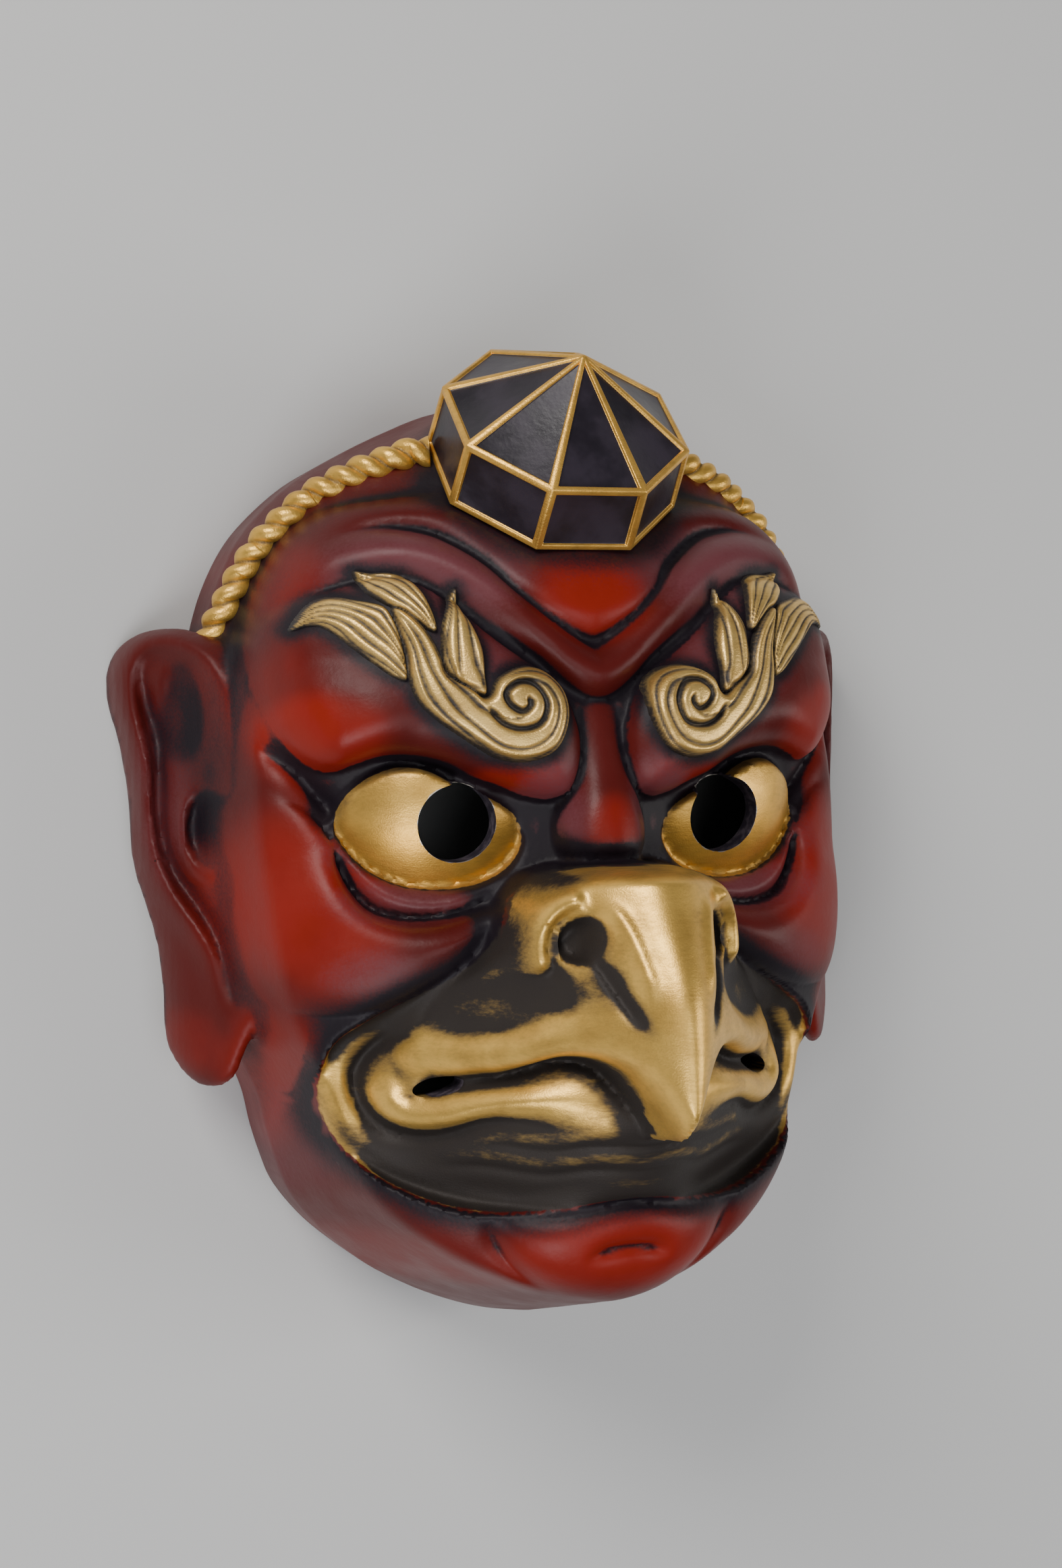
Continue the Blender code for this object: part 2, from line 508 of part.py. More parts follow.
def inset_panels(piece, bar, depth, roof_only=False):
    """Sinks a flat panel inside the bars on each face of the cap that shows."""
    bm = bmesh.new()
    bm.from_mesh(piece.data)
    axis = CAP_AXIS
    foot = [f for f in bm.faces if f.normal.dot(axis) < -0.7]
    shown = [f for f in bm.faces if f not in foot]
    bmesh.ops.inset_individual(bm, faces=shown, thickness=bar*0.0005, depth=0)
    bmesh.ops.inset_individual(bm, faces=shown, thickness=0.0003, depth=-depth*0.001)
    bm.to_mesh(piece.data)
    bm.free()


def rope_mesh(path, radius, turns, rings, sides=8):
    """A rope of two strands laid along the path, closed at both ends."""
    points, faces = [], []
    share = np.linspace(0, 1, rings)
    run = np.concatenate([[0], np.cumsum(np.linalg.norm(np.diff(path, axis=0), axis=1))])
    spots = np.stack([np.interp(share*run[-1], run, path[:, k]) for k in range(3)], 1)
    for k, p in enumerate(spots):
        a, b = spots[max(k-1, 0)], spots[min(k+1, rings-1)]
        ahead = Vector(b-a).normalized()
        side = ahead.cross(Vector((0, 0, 1))).normalized()
        up = side.cross(ahead)
        twist = 2*math.pi*turns*share[k]
        for m in range(sides):
            turn = 2*math.pi*m/sides
            lobe = abs(math.cos(turn-twist))
            r = radius*(0.72+0.28*lobe)
            points.append(Vector(p)+side*(r*math.cos(turn))+up*(r*math.sin(turn)))
    for k in range(rings-1):
        for m in range(sides):
            n = (m+1) % sides
            faces.append((k*sides+m, k*sides+n, (k+1)*sides+n, (k+1)*sides+m))
    faces.append(tuple(range(sides))[::-1])
    faces.append(tuple((rings-1)*sides+m for m in range(sides)))
    return points, faces


def apply_all(piece):
    """Replaces the piece's mesh by what its modifiers make of it."""
    graph = bpy.context.evaluated_depsgraph_get()
    mesh = bpy.data.meshes.new_from_object(piece.evaluated_get(graph))
    piece.modifiers.clear()
    piece.data = mesh


def boolean(piece, other, how):
    mod = piece.modifiers.new(how.title(), "BOOLEAN")
    mod.operation = how
    mod.object = other
    mod.solver = "EXACT"
    apply_all(piece)
    bpy.data.objects.remove(other)


def cylinder(name, start, axis, radius, length, sides=32):
    side = axis.cross(Vector((0, 1, 0))).normalized()
    up = side.cross(axis)
    points = []
    for end in (0, 1):
        for k in range(sides):
            t = 2*math.pi*k/sides
            points.append(start+axis*(length*end)+(side*math.cos(t)+up*math.sin(t))*radius)
    faces = [(k, (k+1) % sides, sides+(k+1) % sides, sides+k) for k in range(sides)]
    faces += [tuple(range(sides))[::-1], tuple(range(sides, 2*sides))]
    return solid(name, points, faces)


def mouth_slot(sign, sides=16):
    """Upright cutter for the breathing slot at a corner of the mouth."""
    outer, inner = Vector((46.3*SX, -64.3*SY)), Vector((36*SX, -61.2*SY))
    middle, along = (outer+inner)/2, (inner-outer)/2
    across = Vector((-along.y, along.x)).normalized()*SLOT_HEIGHT/2
    points = []
    for z in (25*SZ, 75*SZ):
        for k in range(sides):
            t = 2*math.pi*k/sides
            p = middle+along*math.cos(t)+across*math.sin(t)
            points.append((sign*p.x, p.y, z))
    faces = [(k, (k+1) % sides, sides+(k+1) % sides, sides+k) for k in range(sides)]
    faces += [tuple(range(sides))[::-1], tuple(range(sides, 2*sides))]
    return solid("slot", points, faces)


def box(name, low, high):
    points = [(x, y, z) for x in (low[0], high[0]) for y in (low[1], high[1])
              for z in (low[2], high[2])]
    faces = [(0, 1, 3, 2), (4, 6, 7, 5), (0, 4, 5, 1), (2, 3, 7, 6), (0, 2, 6, 4), (1, 5, 7, 3)]
    return solid(name, np.array(points, float), faces)


def main():
    for old in list(bpy.data.objects):
        bpy.data.objects.remove(old, do_unlink=True)
    red = bpy.data.materials.new("red lacquer")
    red.use_nodes = True
    shader = red.node_tree.nodes["Principled BSDF"]
    shader.inputs["Base Color"].default_value = (0.22, 0.02, 0.012, 1)
    shader.inputs["Roughness"].default_value = 0.4

    F, origin = shell_field(VOXEL)
    points, quads = surface_nets(F, origin, VOXEL)
    mask = solid("mask", points, [tuple(int(i) for i in q) for q in quads], red)
    thin = mask.modifiers.new("Fewer facets", "DECIMATE")
    thin.ratio = FACETS/(2*len(quads))
    apply_all(mask)

    cap = solid("cap", *cap_body(CAP_ACROSS/2, 0, CAP_ROOF_HEIGHT, -CAP_WALL_HEIGHT, 0.7))
    inset_panels(cap, CAP_BAR, CAP_PANEL_DEPTH)
    boolean(mask, cap, "UNION")
    path = [(30.5, 91.2), (35, 91), (40, 89.3), (46.5, 87), (52, 84.5), (57.6, 81.4), (64, 76),
            (70, 69.5), (74, 63), (77.5, 56), (81, 48), (82.5, 44)]
    flat = spline(path)*np.array([SX, SY])
    for sign in (1, -1):
        lay = np.array([(sign*x, y, surface_at(x, y)+1.5) for x, y in flat])
        twist = 6.75*sign
        rope = solid("rope", *rope_mesh(lay, ROPE_DIAMETER/2, twist, 48))
        boolean(mask, rope, "UNION")
    inner = CAP_ACROSS/2-WALL
    hollow = solid("hollow", *cap_body(inner, -1, CAP_ROOF_HEIGHT-WALL*1.25,
                                       -CAP_WALL_HEIGHT-14, -3))
    boolean(mask, hollow, "DIFFERENCE")
    for sign in (1, -1):
        axis = Vector((sign*0.06, -0.1, 1)).normalized()
        start = Vector((sign*PUPIL_SPACING/2, -1.2*SY, 62*SZ))-axis*30
        boolean(mask, cylinder("bore", start, axis, PUPIL_BORE/2, 40), "DIFFERENCE")
    for sign in (1, -1):
        boolean(mask, mouth_slot(sign), "DIFFERENCE")
    rim = -DRAWN_SIDE*SZ
    boolean(mask, box("floor", (-150, -200, rim-50), (150, 200, rim)), "DIFFERENCE")

    low = [min(v.co[k] for v in mask.data.vertices) for k in range(3)]
    high = [max(v.co[k] for v in mask.data.vertices) for k in range(3)]
    middle = Vector(((low[0]+high[0])/2, (low[1]+high[1])/2, low[2]))
    for v in mask.data.vertices:
        v.co -= middle
    mask.data.materials.clear()
    mask.data.materials.append(red)
    print("box", [round(1000*(b-a), 1) for a, b in zip(low, high)], "moved", tuple(middle),
          "facets", sum(len(p.vertices)-2 for p in mask.data.polygons))


main()
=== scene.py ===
import math

import bmesh
import bpy
import numpy as np
from mathutils import Matrix, Vector


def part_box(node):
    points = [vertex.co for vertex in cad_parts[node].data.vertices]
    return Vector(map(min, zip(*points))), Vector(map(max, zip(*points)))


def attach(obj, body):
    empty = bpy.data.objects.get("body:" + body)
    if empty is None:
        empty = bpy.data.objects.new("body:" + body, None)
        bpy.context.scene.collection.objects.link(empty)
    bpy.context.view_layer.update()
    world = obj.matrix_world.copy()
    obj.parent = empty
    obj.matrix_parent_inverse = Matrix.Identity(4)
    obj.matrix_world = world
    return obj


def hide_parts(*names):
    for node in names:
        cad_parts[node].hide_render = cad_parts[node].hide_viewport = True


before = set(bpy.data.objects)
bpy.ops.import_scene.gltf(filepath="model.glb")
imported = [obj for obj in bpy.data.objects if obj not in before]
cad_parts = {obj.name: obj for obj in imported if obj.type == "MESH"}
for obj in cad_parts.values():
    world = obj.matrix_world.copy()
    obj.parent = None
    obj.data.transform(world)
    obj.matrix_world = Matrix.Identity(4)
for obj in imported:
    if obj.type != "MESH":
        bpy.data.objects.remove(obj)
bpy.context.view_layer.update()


# Camera: 59 cm up and 20 cm to the mask's right, looking down at its nose from over the right
# cheek. The picture is 1574 by 2324.
camera = bpy.data.objects.new("camera", bpy.data.cameras.new("camera"))
bpy.context.scene.collection.objects.link(camera)
turn, lean = math.radians(20.1), math.radians(-1.73)
level = Vector((math.cos(turn), 0, math.sin(turn)))
north = Vector((0, 1, 0))
right = level*math.cos(lean)+north*math.sin(lean)
upward = north*math.cos(lean)-level*math.sin(lean)
back = Vector((-math.sin(turn), 0, math.cos(turn)))
camera.matrix_world = Matrix((
    (right.x, upward.x, back.x, -0.2028),
    (right.y, upward.y, back.y, 0.0149),
    (right.z, upward.z, back.z, 0.5893),
    (0, 0, 0, 1)))
camera.data.sensor_width = 36
camera.data.lens = 52.05
bpy.context.scene.camera = camera


# Light and floor: a large soft lamp from the upper left, weaker ones from the lower left, the
# right and overhead, and a plain pale floor just under the rim.
def area_light(name, place, target, size, power, color):
    lamp = bpy.data.lights.new(name, "AREA")
    lamp.shape = "RECTANGLE"
    lamp.size, lamp.size_y = size
    lamp.energy = power
    lamp.color = color
    holder = bpy.data.objects.new(name, lamp)
    holder.location = place
    aim = Vector(target)-Vector(place)
    holder.rotation_euler = aim.to_track_quat("-Z", "Y").to_euler()
    bpy.context.scene.collection.objects.link(holder)


area_light("key light", (-0.75, 0.80, 0.85), (0, 0, 0.03), (0.6, 0.6), 13, (1, 0.97, 0.94))
area_light("left light", (-0.62, -0.62, 0.80), (0, 0, 0.03), (0.5, 0.5), 5.5, (0.96, 0.97, 1))
area_light("right light", (0.95, -0.1, 0.65), (0, 0, 0.03), (0.5, 0.8), 4.5, (1, 0.98, 0.95))
area_light("top light", (-0.1, -0.3, 1.4), (0, 0, 0), (0.8, 0.8), 4.5, (0.95, 0.97, 1))
world = bpy.data.worlds.new("room")
world.use_nodes = True
world.node_tree.nodes["Background"].inputs["Color"].default_value = (0.80, 0.82, 0.88, 1)
world.node_tree.nodes["Background"].inputs["Strength"].default_value = 0.15
bpy.context.scene.world = world

floor_mesh = bpy.data.meshes.new("floor")
floor_mesh.from_pydata([(-3, -3, -0.0006), (3, -3, -0.0006), (3, 3, -0.0006), (-3, 3, -0.0006)],
                       [], [(0, 1, 2, 3)])
floor = bpy.data.objects.new("floor", floor_mesh)
bpy.context.scene.collection.objects.link(floor)
floor_paint = bpy.data.materials.new("pale floor")
floor_paint.use_nodes = True
floor_shader = floor_paint.node_tree.nodes["Principled BSDF"]
floor_shader.inputs["Base Color"].default_value = (0.62, 0.62, 0.61, 1)
floor_shader.inputs["Roughness"].default_value = 0.8
floor_mesh.materials.append(floor_paint)


# Face and ears: one hollow resin casting, a proud face on a lower scalp, sprayed red and then
# shaded with black. The half with x >= 0 is drawn in millimetres. Its y = 0 lies SHIFT towards
# the crown from the middle of the mask's footprint, and its z = 0 lies SIDE above the rim.
SHIFT, SIDE = 6.84, 20.0
WALL, EAR_THICKNESS, EAR_LEAN = 4.2, 6.7, 1.35
PUPIL_BORE, PUPIL_SPACING, SLOT_HEIGHT = 19.0, 70.0, 4.4


def spline(points, steps=5, closed=False):
    """A smooth curve through the points."""
    p = np.asarray(points, float)
    if closed:
        q = np.vstack([p[-1:], p, p[:2]])
    else:
        q = np.vstack([2*p[0]-p[1], p, 2*p[-1]-p[-2]])
    t = np.linspace(0, 1, steps, endpoint=False)[:, None]
    out = []
    for a, b, c, d in zip(q, q[1:], q[2:], q[3:]):
        out.append(0.5*(2*b+(c-a)*t+(2*a-5*b+4*c-d)*t*t+(3*b-a-3*c+d)*t**3))
    out.append(p[:1] if closed else p[-1:])
    return np.vstack(out)


def curve(t, knots):
    """A smooth function of t through (t, value) knots."""
    s = spline(sorted(knots), 8)
    return np.interp(t, s[:, 0], s[:, 1])


def nearest(X, Y, path, reach=1e9):
    """Distance to a path, share of its length at the nearest point, and the side."""
    far = np.full(X.shape, 1e9)
    along = np.zeros(X.shape)
    side = np.zeros(X.shape)
    lo, hi = path.min(0)-reach, path.max(0)+reach
    near = (X >= lo[0]) & (X <= hi[0]) & (Y >= lo[1]) & (Y <= hi[1])
    if not near.any():
        return far, along, side
    x, y = X[near], Y[near]
    best, share, turn = np.full(x.shape, 1e9), np.zeros(x.shape), np.zeros(x.shape)
    step = np.hypot(*np.diff(path, axis=0).T)
    run = np.concatenate([[0], np.cumsum(step)])
    for k, (a, b) in enumerate(zip(path, path[1:])):
        dx, dy = b-a
        q = dx*dx+dy*dy
        if q < 1e-12:
            continue
        t = np.clip(((x-a[0])*dx+(y-a[1])*dy)/q, 0, 1)
        ex, ey = x-a[0]-t*dx, y-a[1]-t*dy
        e = ex*ex+ey*ey
        m = e < best
        best[m] = e[m]
        share[m] = (run[k]+t[m]*step[k])/run[-1]
        turn[m] = (dx*ey-dy*ex)[m]
    far[near], along[near], side[near] = np.sqrt(best), share, np.sign(turn)
    return far, along, side


def within(X, Y, outline, reach=3.0):
    """Depth inside a closed outline; negative outside."""
    path = spline(outline, 5, closed=True)
    d = nearest(X, Y, path, reach)[0]
    lo, hi = path.min(0), path.max(0)
    box = (X >= lo[0]) & (X <= hi[0]) & (Y >= lo[1]) & (Y <= hi[1])
    x, y = X[box], Y[box]
    odd = np.zeros(x.shape, bool)
    for (x0, y0), (x1, y1) in zip(path, path[1:]):
        if y0 != y1:
            odd ^= ((y0 > y) != (y1 > y)) & (x < (x1-x0)*(y-y0)/(y1-y0)+x0)
    inner = np.zeros(X.shape, bool)
    inner[box] = odd
    return np.where(inner, d, -d)


def smooth_min(a, b, k):
    """The smaller of two fields, rounded over k where they meet."""
    return 0.5*(a+b-np.sqrt((a-b)**2+k*k))


def swell(s, roll):
    """Quarter-round shoulder: 0 at the edge of a mass, 1 at depth roll."""
    q = np.clip(s/roll, 0, 1)
    return np.sqrt(q*(2-q))


def taper(t, start, end):
    """1 along a path, fading to 0 over the given shares at its ends."""
    lo = np.clip(t/max(start, 1e-6), 0, 1)
    hi = np.clip((1-t)/max(end, 1e-6), 0, 1)
    return lo*lo*(3-2*lo)*hi*hi*(3-2*hi)


def crease(H, X, Y, path, depth, width, start=0.2, end=0.2):
    """A groove cut into the height H along a path."""
    d, t, _ = nearest(X, Y, spline(path), 6*width)
    return H-depth*taper(t, start, end)*np.exp(-(np.sqrt(d*d+0.36)-0.6)/width)


def ridge(H, X, Y, path, height, width, start=0.2, end=0.2):
    """A rounded bead laid on the height H along a path."""
    d, t, _ = nearest(X, Y, spline(path), 3*width)
    return H+height*taper(t, start, end)*np.exp(-(d/width)**2)


def dome(X, Y, cx, cy, rx, ry, turn=0):
    """1 at the middle of an ellipse, easing to 0 at its edge."""
    c, s = math.cos(math.radians(turn)), math.sin(math.radians(turn))
    u = ((X-cx)*c+(Y-cy)*s)/rx
    v = ((Y-cy)*c-(X-cx)*s)/ry
    q = np.clip(1-u*u-v*v, 0, 1)
    return q*q*(3-2*q)


# Outlines of the carved masses; those that reach the middle are closed beyond it
RIM = [(0, 109), (18.3, 106.7), (32.7, 101.1), (45.2, 95), (55.8, 88.8), (64.9, 81.1),
       (71.7, 73.4), (77, 63.8), (80.8, 53.2), (83.7, 38.8), (85.1, 19.5), (85.6, 0.3),
       (84.7, -21), (82.5, -39.6), (78, -54.1), (71.8, -68), (69.3, -79), (66.8, -87.5),
       (63.8, -95), (57.2, -103.8), (49.7, -110.9), (41, -117.4), (28, -124.4), (14, -129.6),
       (0, -132.2)]
FACE = [(-20, 100), (0, 100), (16, 90), (29, 81), (44, 79), (57, 77), (66, 71), (72, 61), (76, 50),
        (79, 38), (81.5, 20), (85, 0), (92, -20), (100, -140), (-20, -140)]
BROW = [(6, 20), (6, 12), (8.5, 6), (13, 4), (19, 5), (25, 7.4), (31, 9.6), (37, 12.8),
        (44, 14.8), (51, 15.2), (57, 13.6), (62, 12.2), (67, 14), (72, 19.5), (75.5, 27),
        (77.5, 38), (76, 48), (69, 53), (60, 56), (50, 58), (42, 56.5), (34, 51), (27, 44.5),
        (20, 39), (13, 34), (8.5, 28)]
EYE = [(60.3, 1.5), (58, 7), (53.5, 10.8), (48.5, 12.8), (44, 12.6), (40, 11.4), (35.5, 8.8),
       (31.5, 7), (27, 5.2), (22, 2.2), (19, -1.5), (18.5, -6.5), (21.5, -11.5), (27, -14.8),
       (33.4, -16.3), (39, -16.5), (45, -15.7), (50, -13.8), (55, -10.5), (58.7, -6), (60.5, -2)]
NOSE = [(0, -12), (7, -12), (11, -8), (11.8, -2), (10, 4), (7.5, 11), (6, 18), (5.4, 26), (0, 29),
        (-5.4, 26), (-6, 18), (-7.5, 11), (-10, 4), (-11.8, -2), (-11, -8), (-7, -12)]
CHEEK = [(80, -38), (75, -43.5), (69, -45.5), (58.5, -45.3), (50, -42.5), (43, -39), (36, -35),
         (29, -29.5), (24, -23.5), (27, -20.5), (31, -21.2), (37, -22.8), (44, -23.4),
         (50, -22.6), (54.8, -20.3), (58.2, -15.8), (60.6, -9.8), (62, -4.5), (66, 2), (72, 6),
         (82, 8), (86, -15)]
MUZZLE = [(-20, -11), (0, -11), (10, -11.2), (19, -13), (24.5, -17.5), (27.5, -23), (30, -29.5),
          (36, -35.6), (46, -41.4), (55, -46.5), (61.5, -51.2), (64.6, -57), (65, -64.5),
          (63.2, -72.5), (59.3, -79.6), (52.7, -85.6), (44.4, -90), (35.9, -92.6), (27.5, -93.4),
          (16.6, -92.6), (8, -91), (0, -90.5), (-20, -90)]
BEAK = [(-6, -68), (0, -74.5), (2.4, -70.6), (5.2, -65.8), (8, -61.4), (11, -57.9), (15, -55.8),
        (20, -55.6), (24.5, -57.4), (29.5, -59.6), (36, -61.2), (41, -62.6), (46.6, -64),
        (51, -62), (52, -57), (49.5, -51.5), (45, -48.5), (40, -41), (33, -34), (29.5, -29.5),
        (27.5, -23), (24.5, -17.5), (19, -13), (10, -11.2), (0, -11), (-15, -11), (-30, -30),
        (-15, -60)]
MOUTH = [(46.6, -64.5), (41, -62.6), (36, -61.2), (29.5, -59.6), (24.5, -57.4), (20, -55.6),
         (15, -55.8), (11, -57.9), (8, -61.4), (5.2, -65.8), (2.4, -70.6), (0, -74.5)]
LEAVES = [
    [(70.6, 46.3), (67.2, 51.3), (63.8, 53.5), (60.4, 53.7), (56.4, 52.6), (51.4, 51),
     (49.5, 47.5), (48, 42), (47.4, 37), (47.6, 33.2), (50.4, 34.1), (54.2, 37.3), (58.4, 41.1),
     (62.1, 44.8), (65, 46.8), (67.4, 47)],
    [(55.6, 60), (51.9, 59.4), (47.7, 59.3), (44.4, 58), (42.2, 54.7), (41, 50.6), (40.2, 45),
     (41.8, 44.6), (44.4, 47.1), (47.4, 49.7), (49.6, 50.6), (51.7, 52), (54.2, 54.5),
     (55, 57.3)],
    [(33.6, 55.2), (36.3, 51.2), (38.6, 46.4), (39.3, 42.3), (39.3, 37), (37, 33), (30.7, 29),
     (30.3, 34.5), (30.1, 39.6), (30.7, 43.3), (31.9, 47), (33.1, 49.8)],
    [(49.7, 50.1), (48.9, 46), (47.4, 40), (47, 34), (45.6, 28.4), (41.6, 23.8), (36.9, 20.2),
     (32.5, 17.1), (28.1, 14.4), (23.3, 13.3), (18.1, 13.9), (13.9, 16.5), (11.2, 21.5),
     (10.2, 26.6), (11, 31.5), (14.5, 34.8), (19.5, 35.9), (24.4, 34.7), (27.8, 32.4),
     (29.2, 29.5), (31, 28.5), (33.5, 30.5), (38.7, 34.2), (39.8, 38.3), (41.4, 42.4),
     (43.6, 46), (47, 49.5)]]
EAR = [(77.5, 39.4), (80.1, 45.6), (85.5, 49.2), (90.9, 50.5), (96.4, 49.6), (101, 46),
       (103.4, 39.8), (103.3, 32), (101.3, 22.6), (99.6, 8), (99, -8.6), (96.8, -18.9),
       (94.8, -28.2), (93.6, -39.5), (93.4, -52.9), (91.3, -59.9), (87.7, -64.8), (83.7, -65.7),
       (80.1, -63.1), (77.9, -56.8), (74, -40.4), (73.1, 0), (74, 30.2)]


def rim_depth(X, Y):
    """Distance inside the rim; negative outside."""
    d, _, side = nearest(X, Y, spline(RIM))
    return np.where(side < 0, d, -d)


def bare_head(X, Y):
    """Smooth form under the carving, scalp behind and face in front."""
    crown = curve(Y, [(120, 5), (113, 13), (108, 22), (100, 32), (92, 39), (84, 45), (76, 50.5),
                      (68, 56.5), (60, 60), (50, 62), (40, 63), (30, 64.5), (20, 65), (0, 65),
                      (-15, 66), (-30, 66), (-45, 65), (-60, 67), (-75, 70), (-85, 71),
                      (-95, 70.5), (-103, 69), (-110, 66), (-118, 61), (-124, 53), (-128, 45),
                      (-132, 34), (-140, 10)])
    half = curve(Y, [(122, 4), (113, 10), (110.6, 22), (104.8, 36), (98.4, 49), (92, 60),
                     (84, 69.5), (76, 76.5), (66, 82), (55, 86), (40, 89), (20, 90.5), (0, 91),
                     (-20, 91), (-38, 89.5), (-52, 86), (-66, 80.5), (-79, 76), (-91.5, 71),
                     (-101, 66), (-110, 59), (-117, 51), (-122.5, 43), (-126, 37), (-130, 29),
                     (-134, 21), (-140, 10)])
    slack = curve(Y, [(120, .5), (100, .5), (87, .6), (81, .73), (70, 1), (60, 1.15), (50, 1.1),
                      (40, .9), (20, .6), (0, .5), (-140, .5)])
    u = np.clip(1-(X/half)**2, 0, 1)
    scalp, front = crown*u**slack, crown*np.sqrt(u)
    H = scalp+(front-scalp)*swell(within(X, Y, FACE, 12), 10)
    edge = rim_depth(X, Y)
    return np.where(edge > 25, H, smooth_min(H, 4.2*edge, 2.5))


def brow_and_eyes(H, bare, X, Y):
    H = H-6.5*dome(X, Y, 39, -5, 42, 33)
    H = H+2*dome(X, Y, 0, 55, 24, 17)-4*dome(X, Y, 0, 82, 52, 34)
    H = ridge(H, X, Y, [(-7, 36.5), (0, 34.5), (9, 39.5), (17.5, 47), (24.5, 55), (32, 61),
                        (41, 64.8), (51, 65.2), (61, 62), (69, 55), (74, 44)], 4.2, 6, 0, .25)
    H = ridge(H, X, Y, [(20, 66), (30, 73.5), (44, 75.5), (57, 74), (66, 67), (72, 58)],
              2.4, 4.5, .3, .3)
    H = crease(H, X, Y, [(-6, 43.5), (0, 41.8), (9.4, 47), (18, 54.4), (23.5, 61), (30.5, 66.6),
                         (36.5, 69.8), (44.5, 71.2), (52, 70.6), (59, 68.2), (64.5, 64)],
               4.2, 2, 0, .35)
    mass = bare+8+2*dome(X, Y, 62, 24, 18, 16)
    H = H+(mass-H)*swell(within(X, Y, BROW), 11)
    H = crease(H, X, Y, [(-5, 29), (0, 27.6), (5, 29), (10.5, 33), (15, 37.5), (22, 43.5),
                         (29, 50)], 3, 1.6, 0, .5)
    bridge = curve(Y, [(30, 63), (22, 65.5), (12, 68.5), (4, 72), (-2, 73.5), (-8, 74),
                       (-13, 73)])-0.055*X**2
    H = H+(bridge-H)*swell(within(X, Y, NOSE), 6)
    H = crease(H, X, Y, [(60, 2.5), (64, 7), (68, 12), (73, 17), (79, 22)], 5, 2.4, 0, .3)
    H = H+(bare+.5+4*dome(X, Y, 58, -30, 34, 26)-H)*swell(within(X, Y, CHEEK), 9)
    H = crease(H, X, Y, [(61.4, -5), (60, -10), (57.7, -15.8), (54.2, -20.4), (49.6, -22.5),
                         (43.7, -23.2), (36.6, -22.6), (31, -21), (26, -19.8), (21, -19)],
               2.2, 1.3, .1, .2)
    H = ridge(H, X, Y, [(61, -1), (59, -8), (55, -14), (49, -18.3), (42, -20.2), (35, -20),
                        (28, -18), (22, -15)], 2.2, 2.6, .1, .3)
    ball = 27.3+np.sqrt(np.clip(33.5**2-(X-31.3)**2-(Y-7)**2, 0, None))
    f = np.clip(within(X, Y, EYE)/.9+.5, 0, 1)
    return H+(ball-H)*f*f*(3-2*f)


